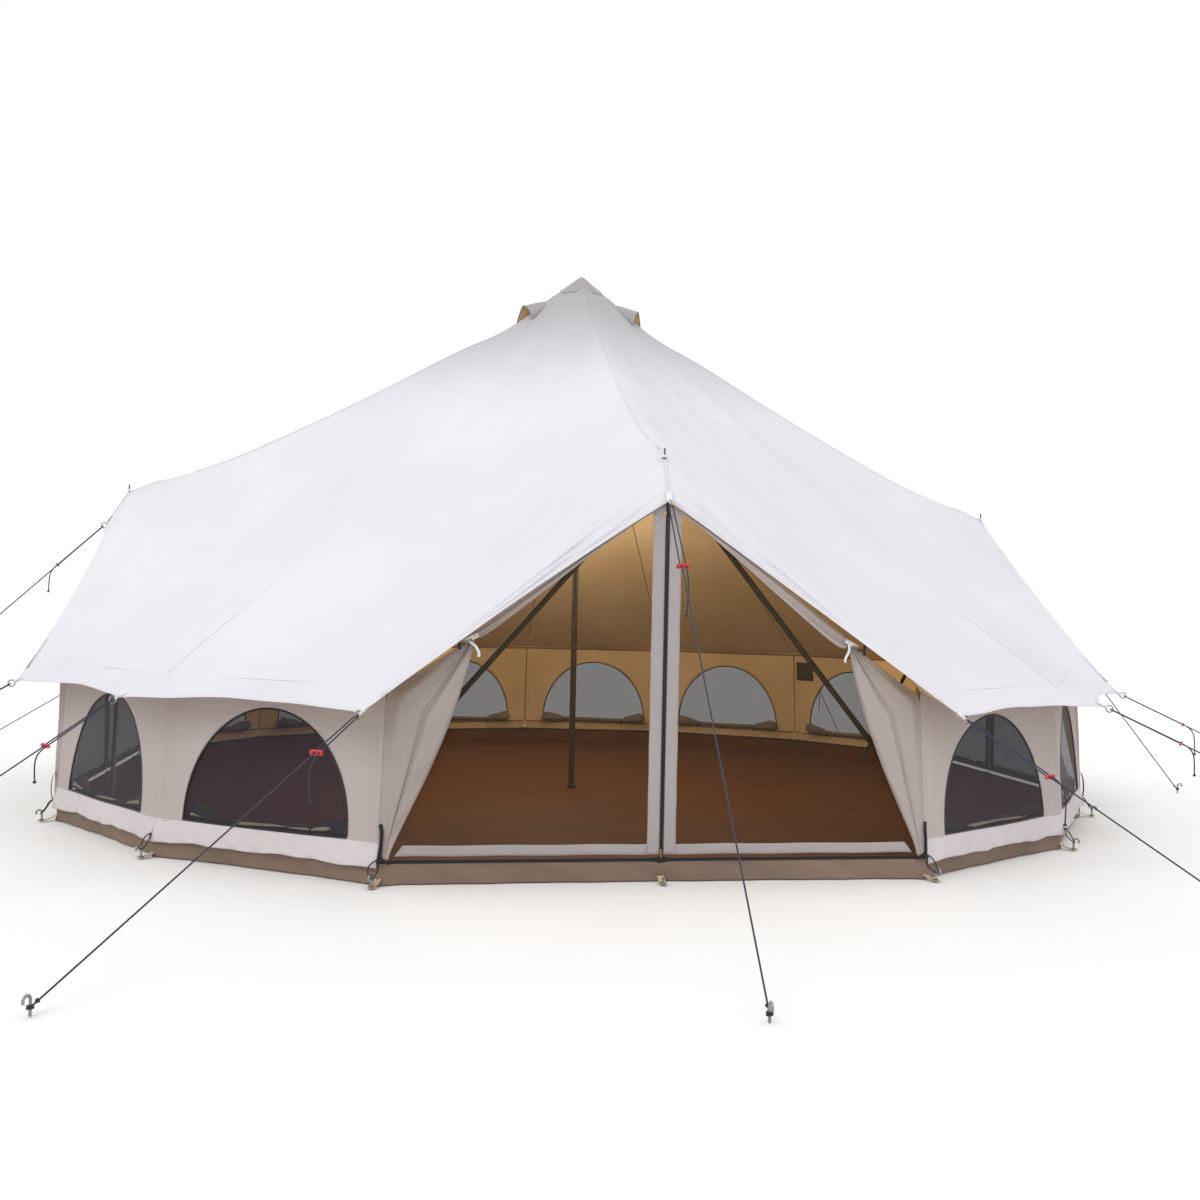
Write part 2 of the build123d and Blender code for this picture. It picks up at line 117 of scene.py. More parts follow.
class Nodes:
    """A material and short ways to add nodes to it."""

    def __init__(self, name):
        self.m = bpy.data.materials.new(name)
        self.m.use_nodes = True
        self.nt = self.m.node_tree
        self.p = next(n for n in self.nt.nodes if n.type == "BSDF_PRINCIPLED")

    def add(self, kind, **values):
        n = self.nt.nodes.new(kind)
        for k, v in values.items():
            setattr(n, k, v)
        return n

    def link(self, a, b):
        self.nt.links.new(a, b)

    def set(self, **values):
        for k, v in values.items():
            self.p.inputs[k.replace("_", " ")].default_value = v

    def coords(self, kind="Object", scale=(1, 1, 1)):
        tc = self.add("ShaderNodeTexCoord")
        mp = self.add("ShaderNodeMapping")
        mp.inputs["Scale"].default_value = scale
        self.link(tc.outputs[kind], mp.inputs["Vector"])
        return mp.outputs["Vector"]

    def noise(self, vec, scale, detail=4.0, rough=0.55):
        n = self.add("ShaderNodeTexNoise")
        n.inputs["Scale"].default_value = scale
        n.inputs["Detail"].default_value = detail
        n.inputs["Roughness"].default_value = rough
        self.link(vec, n.inputs["Vector"])
        return n.outputs["Fac"]

    def ramp(self, fac, stops):
        r = self.add("ShaderNodeValToRGB")
        el = r.color_ramp.elements
        while len(el) < len(stops):
            el.new(0.5)
        for e, (pos, col) in zip(el, stops):
            e.position = pos
            e.color = col
        self.link(fac, r.inputs["Fac"])
        return r.outputs["Color"]

    def mix(self, fac, a, b, kind="MIX"):
        n = self.add("ShaderNodeMix", data_type="RGBA", blend_type=kind)
        for sock, v in ((n.inputs[0], fac), (n.inputs[6], a), (n.inputs[7], b)):
            if hasattr(v, "is_linked"):
                self.link(v, sock)
            else:
                sock.default_value = v
        return n.outputs[2]

    def math(self, op, a, b=0.0, clamp=False):
        n = self.add("ShaderNodeMath", operation=op, use_clamp=clamp)
        for sock, v in ((n.inputs[0], a), (n.inputs[1], b)):
            if hasattr(v, "is_linked"):
                self.link(v, sock)
            else:
                sock.default_value = v
        return n.outputs[0]

    def wave(self, vec, period, axis="X"):
        n = self.add("ShaderNodeTexWave", wave_type="BANDS", bands_direction=axis, wave_profile="SIN")
        n.inputs["Scale"].default_value = 2 * math.pi / (20 * period)
        n.inputs["Distortion"].default_value = 0.0
        n.inputs["Detail"].default_value = 0.0
        self.link(vec, n.inputs["Vector"])
        return n.outputs["Fac"]

    def bump(self, height, strength, distance):
        b = self.add("ShaderNodeBump")
        b.inputs["Strength"].default_value = strength
        b.inputs["Distance"].default_value = distance
        self.link(height, b.inputs["Height"])
        self.link(b.outputs["Normal"], self.p.inputs["Normal"])
        return b


def canvas(name, light, dark, rough=0.86, sheen=0.12, weave=0.0022, creases=0.5, foot=None, peak=None):
    """Cotton canvas: cloudy colour, slubs along the threads, plain weave and soft creases."""
    k = Nodes(name)
    obj = k.coords("Object")
    uv = k.coords("UV")
    cloud = k.noise(obj, 0.9, 5.0, 0.6)
    fine = k.noise(obj, 14.0, 4.0, 0.6)
    slub = k.noise(k.coords("UV", (90.0, 5.0, 1.0)), 1.0, 2.0, 0.5)
    base = k.ramp(cloud, [(0.30, dark), (0.62, light)])
    if foot:
        # the strip of cloth sewn on below this height, lighter than the wall above, whose darker colour is painted
        # shade
        sep = k.add("ShaderNodeSeparateXYZ")
        k.link(obj, sep.inputs[0])
        low = k.math("MULTIPLY", k.math("SUBTRACT", foot[0], sep.outputs[2]), 220.0, clamp=True)
        base = k.mix(low, base, k.ramp(cloud, [(0.30, foot[2]), (0.62, foot[1])]))
    if peak:
        # greyer towards the top, by height: painted shade at the peak
        sep = k.add("ShaderNodeSeparateXYZ")
        k.link(obj, sep.inputs[0])
        high = k.add("ShaderNodeMapRange", interpolation_type="SMOOTHSTEP")
        high.inputs["From Min"].default_value = peak[0]
        high.inputs["From Max"].default_value = peak[1]
        k.link(sep.outputs[2], high.inputs["Value"])
        base = k.mix(high.outputs["Result"], base, peak[2])
    base = k.mix(k.math("MULTIPLY", fine, 0.16), base, dark)
    base = k.mix(k.math("MULTIPLY", slub, 0.10), base, dark)
    warp, weft = k.wave(uv, weave, "X"), k.wave(uv, weave, "Y")
    threads = k.math("MULTIPLY", warp, weft)
    base = k.mix(k.math("MULTIPLY", threads, 0.07), base, dark)
    k.link(base, k.p.inputs["Base Color"])
    rr = k.math("ADD", k.math("MULTIPLY", fine, 0.12), rough - 0.06)
    k.link(rr, k.p.inputs["Roughness"])
    crease = k.noise(obj, 3.1, 3.0, 0.45)
    height = k.math("ADD", k.math("MULTIPLY", threads, 0.12), k.math("MULTIPLY", crease, creases))
    height = k.math("ADD", height, k.math("MULTIPLY", fine, 0.10))
    k.bump(height, 0.35, 0.006)
    k.set(Sheen_Weight=sheen, Sheen_Roughness=0.5, Specular_IOR_Level=0.25)
    return k.m


def plain(name, light, dark, rough=0.5, metallic=0.0, scale=40.0, bump=0.15, dist=0.001, spec=0.5, sheen=0.0):
    k = Nodes(name)
    obj = k.coords("Object")
    n = k.noise(obj, scale, 5.0, 0.6)
    big = k.noise(obj, scale * 0.13, 3.0, 0.5)
    col = k.ramp(n, [(0.32, dark), (0.66, light)])
    col = k.mix(k.math("MULTIPLY", big, 0.35), col, dark)
    k.link(col, k.p.inputs["Base Color"])
    k.link(k.math("ADD", k.math("MULTIPLY", n, 0.18), rough - 0.09), k.p.inputs["Roughness"])
    k.bump(n, bump, dist)
    k.set(Metallic=metallic, Specular_IOR_Level=spec, Sheen_Weight=sheen)
    return k.m


def netting(name, colour, alpha, rough=0.7):
    """Woven insect mesh, seen as an even see-through dark cloth."""
    k = Nodes(name)
    uv = k.coords("UV")
    threads = k.math("MAXIMUM", k.wave(uv, 0.0024, "X"), k.wave(uv, 0.0024, "Y"))
    n = k.noise(k.coords("Object"), 5.0, 3.0)
    light = tuple(min(1.0, c * 1.9 + 0.006) for c in colour[:3]) + (1.0,)
    col = k.mix(k.math("MULTIPLY", threads, 0.6), colour, light)
    col = k.mix(k.math("MULTIPLY", n, 0.3), col, light)
    k.link(col, k.p.inputs["Base Color"])
    k.link(k.math("ADD", k.math("MULTIPLY", threads, 0.15), rough - 0.05), k.p.inputs["Roughness"])
    k.bump(threads, 0.2, 0.0006)
    k.set(Alpha=alpha, Specular_IOR_Level=0.2, Sheen_Weight=0.1)
    k.m.use_backface_culling = False
    return k.m


def webbing(name, light, dark, pitch=0.0032, stitches=None):
    """Narrow woven tape: ribs across it, seen from its own lengthwise UVs."""
    k = Nodes(name)
    uv = k.coords("UV")
    ribs = k.wave(uv, pitch, "X")
    edge = k.wave(uv, pitch * 1.7, "Y")
    n = k.noise(k.coords("Object"), 60.0, 3.0)
    col = k.mix(k.math("MULTIPLY", ribs, 0.45), light, dark)
    col = k.mix(k.math("MULTIPLY", n, 0.25), col, dark)
    k.link(col, k.p.inputs["Base Color"])
    k.link(k.math("ADD", k.math("MULTIPLY", n, 0.15), 0.62), k.p.inputs["Roughness"])
    k.bump(k.math("ADD", ribs, k.math("MULTIPLY", edge, 0.3)), 0.4, 0.0006)
    k.set(Specular_IOR_Level=0.3, Sheen_Weight=0.15)
    return k.m


def seam(name, light, dark, stitch, width=0.014, pitch=0.0055):
    """A felled seam: canvas with a row of stitches near each edge. UV x runs along it."""
    k = Nodes(name)
    uv = k.coords("UV")
    sep = k.add("ShaderNodeSeparateXYZ")
    k.link(uv, sep.inputs[0])
    across = k.math("ABSOLUTE", sep.outputs[1])
    row = k.math("LESS_THAN", k.math("ABSOLUTE", k.math("SUBTRACT", across, width / 2 - 0.003)), 0.0011)
    dash = k.math("GREATER_THAN", k.wave(uv, pitch, "X"), 0.35)
    on = k.math("MULTIPLY", row, dash)
    n = k.noise(k.coords("Object"), 22.0, 4.0)
    col = k.mix(n, dark, light)
    col = k.mix(k.math("MULTIPLY", on, 0.8), col, stitch)
    k.link(col, k.p.inputs["Base Color"])
    k.link(k.math("ADD", k.math("MULTIPLY", n, 0.1), 0.8), k.p.inputs["Roughness"])
    k.bump(k.math("ADD", k.math("MULTIPLY", on, -1.0), k.math("MULTIPLY", n, 0.5)), 0.5, 0.0012)
    k.set(Sheen_Weight=0.12, Specular_IOR_Level=0.25)
    return k.m


def floor_material(name):
    k = Nodes(name)
    obj = k.coords("Object")
    streak = k.noise(k.coords("Object", (1.2, 6.0, 1.0)), 1.6, 6.0, 0.62)
    fine = k.noise(obj, 70.0, 3.0, 0.6)
    light, dark = srgb(103, 56, 12), srgb(79, 40, 7)
    col = k.ramp(streak, [(0.30, dark), (0.70, light)])
    col = k.mix(k.math("MULTIPLY", fine, 0.35), col, srgb(74, 38, 7))
    k.link(col, k.p.inputs["Base Color"])
    k.link(k.math("ADD", k.math("MULTIPLY", fine, 0.12), 0.62), k.p.inputs["Roughness"])
    warp = k.math("MULTIPLY", k.wave(obj, 0.004, "X"), k.wave(obj, 0.004, "Y"))
    k.bump(k.math("ADD", k.math("MULTIPLY", warp, 0.05), streak), 0.22, 0.004)
    k.set(Specular_IOR_Level=0.12)
    return k.m


def rope_material(name, light, dark):
    """Braided cord: diamond pattern from object coordinates, with flecks."""
    k = Nodes(name)
    a = k.wave(k.coords("Object", (1.0, 1.0, 1.0)), 0.006, "DIAGONAL")
    b = k.noise(k.coords("Object"), 260.0, 2.0)
    col = k.mix(a, dark, light)
    col = k.mix(k.math("MULTIPLY", b, 0.4), col, srgb(70, 72, 92))
    k.link(col, k.p.inputs["Base Color"])
    k.link(k.math("ADD", k.math("MULTIPLY", b, 0.2), 0.5), k.p.inputs["Roughness"])
    k.bump(a, 0.5, 0.0008)
    k.set(Specular_IOR_Level=0.35, Sheen_Weight=0.1)
    return k.m


M = {
    # the roof canvas turns grey between 2.20 and 3.12 m up: painted shade towards the peak
    "roof": canvas("roof_canvas_peak_shade", srgb(216, 215, 221), srgb(207, 206, 212), peak=(2.20, 3.12, srgb(156, 152, 155))),
    # the inside face is coloured ochre: painted light shining through the canvas
    "inner": canvas("canvas_inside_painted_light", srgb(226, 197, 150), srgb(201, 168, 118), sheen=0.05),
    # the wall canvas is darker and greyer than the roof: painted shade from the eaves over the walls
    "wall": canvas("wall_canvas_shaded", srgb(178, 168, 165), srgb(166, 155, 152), foot=(0.170, srgb(206, 198, 200), srgb(195, 187, 189))),
    "skirt": canvas("skirt_canvas", srgb(214, 206, 208), srgb(202, 194, 196)),
    # door flaps and trims are darker than the roof canvas: painted shade over the doors
    "flap": canvas("door_canvas_shaded", srgb(166, 156, 152), srgb(152, 141, 137)),
    "trim": canvas("trim_canvas_shaded", srgb(163, 156, 156), srgb(151, 143, 143)),
    "hem": canvas("hem_canvas", srgb(216, 214, 220), srgb(205, 203, 209)),
    # cap and cap seam are coloured a darker grey than the roof: painted shade at the peak
    "cap": canvas("cap_canvas_shaded", srgb(160, 156, 159), srgb(152, 148, 151)),
    "cap_seam": seam("cap_seam", srgb(159, 155, 158), srgb(152, 148, 151), srgb(142, 138, 141)),
    "tub": canvas("tub_fabric", srgb(132, 113, 99), srgb(117, 98, 85), rough=0.7, sheen=0.05),
    "floor": floor_material("floor_fabric"),
    "seam": seam("canvas_seam", srgb(216, 214, 220), srgb(207, 205, 211), srgb(196, 193, 198)),
    "seam_in": seam("inside_seam", srgb(150, 116, 70), srgb(124, 94, 56), srgb(86, 62, 36), width=0.010),
    # near-black netting with a faint blue: painted sky light seen through the mesh
    "mesh_win": netting("window_mesh", srgb(25, 26, 36), 0.73),
    "mesh_door": netting("door_mesh", srgb(38, 31, 18), 0.42),
    "mesh_side": netting("side_door_mesh", srgb(33, 30, 29), 0.84),
    "black": plain("black_tape", srgb(30, 30, 33), srgb(18, 18, 20), rough=0.6, scale=90, spec=0.35, sheen=0.1),
    "zip": webbing("zip_black", srgb(26, 26, 29), srgb(12, 12, 14), pitch=0.0045),
    # the rolled covers are a dark grey-brown: painted shade of the bunched cloth inside the tent
    "cover": canvas("rolled_cover_shaded", srgb(128, 116, 104), srgb(104, 94, 84), sheen=0.05),
    "pole": plain("pole_steel", srgb(84, 74, 58), srgb(62, 54, 42), rough=0.38, metallic=0.55, scale=18, spec=0.5),
    "steel": plain("stake_steel", srgb(168, 170, 172), srgb(128, 130, 133), rough=0.36, metallic=0.9, scale=35),
    "spike": plain("spike_steel", srgb(120, 120, 124), srgb(84, 84, 88), rough=0.35, metallic=0.85, scale=35),
    "rubber": plain("black_rubber", srgb(28, 28, 29), srgb(18, 18, 19), rough=0.75, scale=60),
    "rope": rope_material("rope_navy", srgb(34, 36, 58), srgb(18, 19, 33)),
    "red": plain("tensioner_red", srgb(206, 40, 48), srgb(172, 26, 36), rough=0.34, scale=30, spec=0.6),
    "toggle": plain("toggle_black", srgb(24, 24, 26), srgb(14, 14, 16), rough=0.4, scale=40),
    "tape": webbing("webbing_white", srgb(232, 230, 232), srgb(196, 192, 194)),
    "vent_mesh": netting("vent_mesh", srgb(150, 118, 74), 0.85),
    "dark_cloth": canvas("dark_cloth", srgb(74, 60, 44), srgb(58, 46, 33), sheen=0.05),
    "tan": webbing("webbing_tan", srgb(190, 170, 140), srgb(150, 130, 102)),
    "brass": plain("zip_metal", srgb(168, 140, 96), srgb(126, 102, 66), rough=0.35, metallic=0.9, scale=60),
}


# ---------------------------------------------------------------------------
# Mesh helpers
# ---------------------------------------------------------------------------
def make(name, verts, faces, mats, mat_index=None, uvs=None, shade=True):
    """A mesh object from arrays. uvs is one (u, v) per vertex, in metres."""
    me = bpy.data.meshes.new(name)
    me.from_pydata([tuple(map(float, v)) for v in verts], [], [tuple(map(int, f)) for f in faces])
    for m in mats:
        me.materials.append(M[m] if isinstance(m, str) else m)
    if mat_index is not None:
        me.polygons.foreach_set("material_index", np.asarray(mat_index, np.int32))
    if uvs is not None:
        layer = me.uv_layers.new(name="UVMap")
        loops = np.zeros(len(me.loops), np.int32)
        me.loops.foreach_get("vertex_index", loops)
        layer.data.foreach_set("uv", np.asarray(uvs, np.float32)[loops].ravel())
    if shade:
        me.polygons.foreach_set("use_smooth", np.ones(len(me.polygons), bool))
    me.update()
    me.validate()
    ob = bpy.data.objects.new(name, me)
    C.objects.link(ob)
    return ob


def normals_of(V, F):
    """Area-weighted vertex normals of a mesh of quads and triangles."""
    V = np.asarray(V, float)
    N = np.zeros_like(V)
    for n in (3, 4):
        f = np.array([x for x in F if len(x) == n], int)
        if not len(f):
            continue
        if n == 3:
            w = np.cross(V[f[:, 1]] - V[f[:, 0]], V[f[:, 2]] - V[f[:, 0]])
        else:
            w = np.cross(V[f[:, 2]] - V[f[:, 0]], V[f[:, 3]] - V[f[:, 1]])
        for k in range(n):
            np.add.at(N, f[:, k], w)
    ln = np.linalg.norm(N, axis=1)
    ln[ln == 0] = 1
    return N / ln[:, None]


def thicken(V, F, t, outer=0, inner=1, rim=0, uvs=None, normals=None, face_mats=None):
    """A closed cloth of thickness t about the sheet V, F. Returns V, F, material index, uvs."""
    V = np.asarray(V, float)
    N = normals_of(V, F) if normals is None else normals
    n = len(V)
    half = (np.full(n, t) if np.isscalar(t) else np.asarray(t))[:, None] / 2
    W = np.vstack([V + N * half, V - N * half])
    faces, mats = [], []
    count = {}
    for f in F:
        for a, b in zip(f, list(f[1:]) + [f[0]]):
            count[(a, b)] = count.get((a, b), 0) + 1
    for i, f in enumerate(F):
        om, im = (outer, inner) if face_mats is None else face_mats[i]
        # both sides are split along the same diagonal, so that neither comes through the other
        if len(f) == 4:
            if np.linalg.norm(V[f[0]] - V[f[2]]) <= np.linalg.norm(V[f[1]] - V[f[3]]):
                bits = ([f[0], f[1], f[2]], [f[0], f[2], f[3]])
            else:
                bits = ([f[0], f[1], f[3]], [f[1], f[2], f[3]])
        else:
            bits = (list(f),)
        for g in bits:
            faces.append(list(g))
            mats.append(om)
            faces.append([x + n for x in reversed(g)])
            mats.append(im)
    for (a, b) in count:
        if (b, a) not in count:
            faces.append([b, a, a + n, b + n])
            mats.append(rim)
    U = None if uvs is None else np.vstack([uvs, uvs])
    return W, faces, mats, U


def weld(V, F, uvs=None, tol=1e-5):
    """Merge points that coincide and drop the faces that collapse."""
    key = np.round(np.asarray(V) / tol).astype(np.int64)
    _, first, inverse = np.unique(key, axis=0, return_index=True, return_inverse=True)
    inverse = inverse.ravel()
    out = []
    keep = []
    for i, f in enumerate(F):
        g = [int(inverse[x]) for x in f]
        h = [x for k, x in enumerate(g) if x != g[k - 1]]
        if len(set(h)) >= 3:
            out.append(h)
            keep.append(i)
    V2 = np.asarray(V)[first]
    return V2, out, (None if uvs is None else np.asarray(uvs)[first]), keep


def soften(V, F, N, rounds=3):
    """Normals evened out over their neighbours, and the mean length of the edges at each point."""
    E = np.array([(a, b) for f in F for a, b in zip(f, list(f[1:]) + [f[0]])])
    L = np.linalg.norm(V[E[:, 0]] - V[E[:, 1]], axis=1)
    cnt = np.bincount(E.ravel(), minlength=len(V)).astype(float)
    mean = np.bincount(E.ravel(), weights=np.repeat(L, 2), minlength=len(V)) / np.maximum(cnt, 1)
    for _ in range(rounds):
        A = N.copy()
        for c in range(3):
            A[:, c] += (np.bincount(E[:, 0], weights=N[E[:, 1], c], minlength=len(V))
                        + np.bincount(E[:, 1], weights=N[E[:, 0], c], minlength=len(V)))
        N = A / np.maximum(np.linalg.norm(A, axis=1), 1e-9)[:, None]
    return N, mean


def grid_faces(rows, cols, base=0, wrap=False, flip=False):
    out = []
    for i in range(rows - 1):
        for j in range(cols if wrap else cols - 1):
            j2 = (j + 1) % cols
            q = [base + i * cols + j, base + i * cols + j2, base + (i + 1) * cols + j2, base + (i + 1) * cols + j]
            out.append(q[::-1] if flip else q)
    return out


def frames_along(P, up=None):
    """Tangent, side and normal at each point of a line, with no sudden twist."""
    P = np.asarray(P, float)
    T = np.gradient(P, axis=0)
    T /= np.linalg.norm(T, axis=1)[:, None]
    ref = np.array([0, 0, 1.0]) if up is None else np.asarray(up, float)
    if ref.ndim == 1:
        if abs(ref @ T[0]) > 0.95:
            ref = np.array([1.0, 0, 0])
        S = [unit(np.cross(T[0], ref))]
        for i in range(1, len(P)):
            s = S[-1] - T[i] * (S[-1] @ T[i])
            S.append(unit(s))
        S = np.array(S)
    else:
        S = np.cross(T, ref)
        S /= np.linalg.norm(S, axis=1)[:, None]
    return T, S, np.cross(S, T)


def tube(P, r, sides=8, caps=True):
    """V, F, UV of a round tube along P with radius r (a number or one per point)."""
    P = np.asarray(P, float)
    T, S, N = frames_along(P)
    r = np.broadcast_to(np.asarray(r, float), (len(P),))
    along = np.concatenate([[0], np.cumsum(np.linalg.norm(np.diff(P, axis=0), axis=1))])
    V, UV = [], []
    for i in range(len(P)):
        for k in range(sides):
            a = 2 * math.pi * k / sides
            V.append(P[i] + r[i] * (math.cos(a) * S[i] + math.sin(a) * N[i]))
            UV.append((along[i], k / sides * 2 * math.pi * float(r[i])))
    F = grid_faces(len(P), sides, wrap=True)
    if caps:
        F.append(list(range(sides)))
        F.append([(len(P) - 1) * sides + k for k in reversed(range(sides))])
    return np.array(V), F, np.array(UV)


def band(P, N, width, thick, lift=0.0):
    """A flat strap along P lying across normal N: V, F, UV of its closed body."""
    P = np.asarray(P, float)
    N = np.broadcast_to(np.asarray(N, float), P.shape)
    T = np.gradient(P, axis=0)
    T /= np.linalg.norm(T, axis=1)[:, None]
    S = np.cross(N, T)
    S /= np.linalg.norm(S, axis=1)[:, None]
    N2 = np.cross(T, S)
    w = np.broadcast_to(np.asarray(width, float), (len(P),))
    along = np.concatenate([[0], np.cumsum(np.linalg.norm(np.diff(P, axis=0), axis=1))])
    V, UV = [], []
    for i in range(len(P)):
        for sx, h in ((-0.5, 0.15), (-0.42, 1.0), (0.42, 1.0), (0.5, 0.15), (0.42, 0.0), (-0.42, 0.0)):
            V.append(P[i] + S[i] * sx * w[i] + N2[i] * (lift + h * thick))
            UV.append((along[i], sx * w[i]))
    F = grid_faces(len(P), 6, wrap=True, flip=True)
    F.append(list(reversed(range(6))))
    F.append([(len(P) - 1) * 6 + k for k in range(6)])
    return np.array(V), F, np.array(UV)


def joined(parts):
    """Several (V, F, UV) as one."""
    V, F, U, base = [], [], [], 0
    for v, f, u in parts:
        V.append(v)
        U.append(u)
        F.extend([[x + base for x in g] for g in f])
        base += len(v)
    return np.vstack(V), F, np.vstack(U)


def resample(P, n):
    P = np.asarray(P, float)
    s = np.concatenate([[0], np.cumsum(np.linalg.norm(np.diff(P, axis=0), axis=1))])
    t = np.linspace(0, s[-1], n)
    return np.stack([np.interp(t, s, P[:, k]) for k in range(P.shape[1])], axis=1)


def rounded(P, n, passes=3):
    """A line through corners P, rounded by corner cutting, then evenly spaced."""
    P = np.asarray(P, float)
    for _ in range(passes):
        Q = [P[0]]
        for a, b in zip(P[:-1], P[1:]):
            Q += [a * 0.75 + b * 0.25, a * 0.25 + b * 0.75]
        Q.append(P[-1])
        P = np.array(Q)
    return resample(P, n)


def ride(obj, body="tent"):
    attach(obj, body)
    return obj


# ---------------------------------------------------------------------------
# Guy ropes: the route's points, peg to tail
# ---------------------------------------------------------------------------
GUYS = {
    "front_lip": [(-0.0652, -4.5608, 0.026), (-0.0136, -2.8204, 1.5535), (0.0124, -2.8212, 1.5535), (0.0028, -3.1458, 1.2686), (0.0022, -3.1666, 1.2276), (0.0020, -3.1721, 1.1699), (-0.0043, -3.1719, 1.1062)],
    "left_lip": [(-4.3946, -0.1543, 0.026), (-2.8213, 0.0110, 1.5526), (-2.8185, -0.0148, 1.5526), (-3.0883, -0.0432, 1.2909), (-3.1041, -0.0448, 1.2576), (-3.1082, -0.0453, 1.2114), (-3.1075, -0.0513, 1.1606)],
    "right_lip": [(3.9717, -0.2194, 0.026), (2.8148, -0.0155, 1.5502), (2.8193, 0.0102, 1.5502), (3.0640, -0.0330, 1.2278), (3.0784, -0.0355, 1.1891), (3.0823, -0.0362, 1.1371), (3.0813, -0.0419, 1.0798)],
    "front_left_1": [(-2.0347, -4.3328, 0.026), (-1.2462, -2.9671, 0.6942), (-1.2237, -2.9801, 0.6942), (-1.3765, -3.2448, 0.5647), (-1.3898, -3.2677, 0.5300), (-1.3930, -3.2734, 0.4752), (-1.3868, -3.2770, 0.4149)],
    "front_left_2": [(-3.1042, -3.0858, 0.026), (-2.2851, -2.2668, 0.6915), (-2.2668, -2.2851, 0.6915), (-2.4979, -2.5163, 0.5037), (-2.5113, -2.5297, 0.4749), (-2.5147, -2.5331, 0.4317), (-2.5107, -2.5371, 0.3840)],
    "front_left_3": [(-4.0016, -1.7659, 0.026), (-2.9789, -1.2221, 0.6915), (-2.9667, -1.2451, 0.6915), (-3.2553, -1.3986, 0.5037), (-3.2743, -1.4087, 0.4711), (-3.2791, -1.4112, 0.4221), (-3.2760, -1.4169, 0.3681)],
    "front_right_1": [(1.8676, -4.2192, 0.026), (1.2223, -2.9797, 0.6932), (1.2454, -2.9677, 0.6932), (1.4400, -3.3415, 0.4920), (1.4524, -3.3654, 0.4547), (1.4555, -3.3713, 0.3971), (1.4499, -3.3742, 0.3334)],
    "front_right_2": [(3.4189, -3.1820, 0.026), (2.2705, -2.2849, 0.6936), (2.2865, -2.2644, 0.6936), (2.5566, -2.4754, 0.5366), (2.5738, -2.4888, 0.5069), (2.5781, -2.4921, 0.4609), (2.5749, -2.4962, 0.4099)],
    "front_right_3": [(4.1595, -1.9922, 0.026), (2.9659, -1.2464, 0.6933), (2.9797, -1.2244, 0.6933), (3.2686, -1.4049, 0.5318), (3.2892, -1.4178, 0.4983), (3.2943, -1.4210, 0.4464), (3.2913, -1.4258, 0.3891)],
    "rear_left_1": [(-4.1035, 1.7138, 0.026), (-2.9690, 1.2439, 0.6921), (-2.9789, 1.2198, 0.6921), (-3.2770, 1.3433, 0.5171), (-3.2984, 1.3522, 0.4828), (-3.3038, 1.3544, 0.4310), (-3.3016, 1.3597, 0.3737)],
    "rear_left_2": [(-2.6876, 2.7376, 0.026), (-2.2628, 2.2820, 0.6858), (-2.2818, 2.2643, 0.6858), (-2.4256, 2.4184, 0.4626), (-2.4351, 2.4287, 0.4310), (-2.4376, 2.4314, 0.3877), (-2.4341, 2.4346, 0.3399)],
    "rear_left_3": [(-1.4459, 3.5539, 0.026), (-1.2176, 2.9744, 0.6858), (-1.2418, 2.9648, 0.6858), (-1.3203, 3.1641, 0.4589), (-1.3268, 3.1806, 0.4190), (-1.3285, 3.1850, 0.3641), (-1.3229, 3.1872, 0.3036)],
    "rear_centre": [(0.0242, 3.8367, 0.026), (0.0133, 3.2139, 0.6858), (-0.0127, 3.2144, 0.6858), (-0.0090, 3.4251, 0.4626), (-0.0087, 3.4410, 0.4268), (-0.0087, 3.4451, 0.3777), (-0.0033, 3.4450, 0.3236)],
    "rear_right_3": [(1.4649, 3.5465, 0.026), (1.2417, 2.9650, 0.6858), (1.2175, 2.9743, 0.6858), (1.2917, 3.1679, 0.4662), (1.2978, 3.1835, 0.4284), (1.2994, 3.1877, 0.3764), (1.2929, 3.1901, 0.3192)],
    "rear_right_2": [(2.7300, 2.6959, 0.026), (2.2820, 2.2632, 0.6858), (2.2639, 2.2819, 0.6858), (2.4165, 2.4292, 0.4611), (2.4273, 2.4396, 0.4275), (2.4301, 2.4423, 0.3813), (2.4259, 2.4467, 0.3304)],
    "rear_right_1": [(3.6532, 1.5207, 0.026), (2.9760, 1.2192, 0.6874), (2.9654, 1.2429, 0.6874), (3.1801, 1.3385, 0.4777), (3.1990, 1.3469, 0.4366), (3.2039, 1.3491, 0.3788), (3.2008, 1.3561, 0.3153)],
}
ROPE_D = 0.006


def knot_mesh(centre, size, d, axis=(0, 0, 1)):
    """An overhand knot: a trefoil of the rope's own thickness."""
    t = np.linspace(0, 2 * math.pi, 49)[:-1]
    P = np.stack([np.sin(t) + 2 * np.sin(2 * t), np.cos(t) - 2 * np.cos(2 * t), -1.5 * np.sin(3 * t)], axis=1) * size / 6
    z = unit(axis)
    x = unit(np.cross(z, (0.3, 1, 0.2)))
    y = np.cross(z, x)
    P = P @ np.array([x, y, z]) + np.asarray(centre)
    T = np.roll(P, -1, axis=0) - np.roll(P, 1, axis=0)
    T /= np.linalg.norm(T, axis=1)[:, None]
    V, UV, sides = [], [], 8
    for i in range(len(P)):
        s = unit(np.cross(T[i], z + 0.35 * x))
        n = np.cross(s, T[i])
        for k in range(sides):
            a = 2 * math.pi * k / sides
            V.append(P[i] + d / 2 * (math.cos(a) * s + math.sin(a) * n))
            UV.append((i * 0.003, k * 0.002))
    F = []
    for i in range(len(P)):
        for k in range(sides):
            i2, k2 = (i + 1) % len(P), (k + 1) % sides
            F.append([i * sides + k, i * sides + k2, i2 * sides + k2, i2 * sides + k])
    return np.array(V), F, np.array(UV)


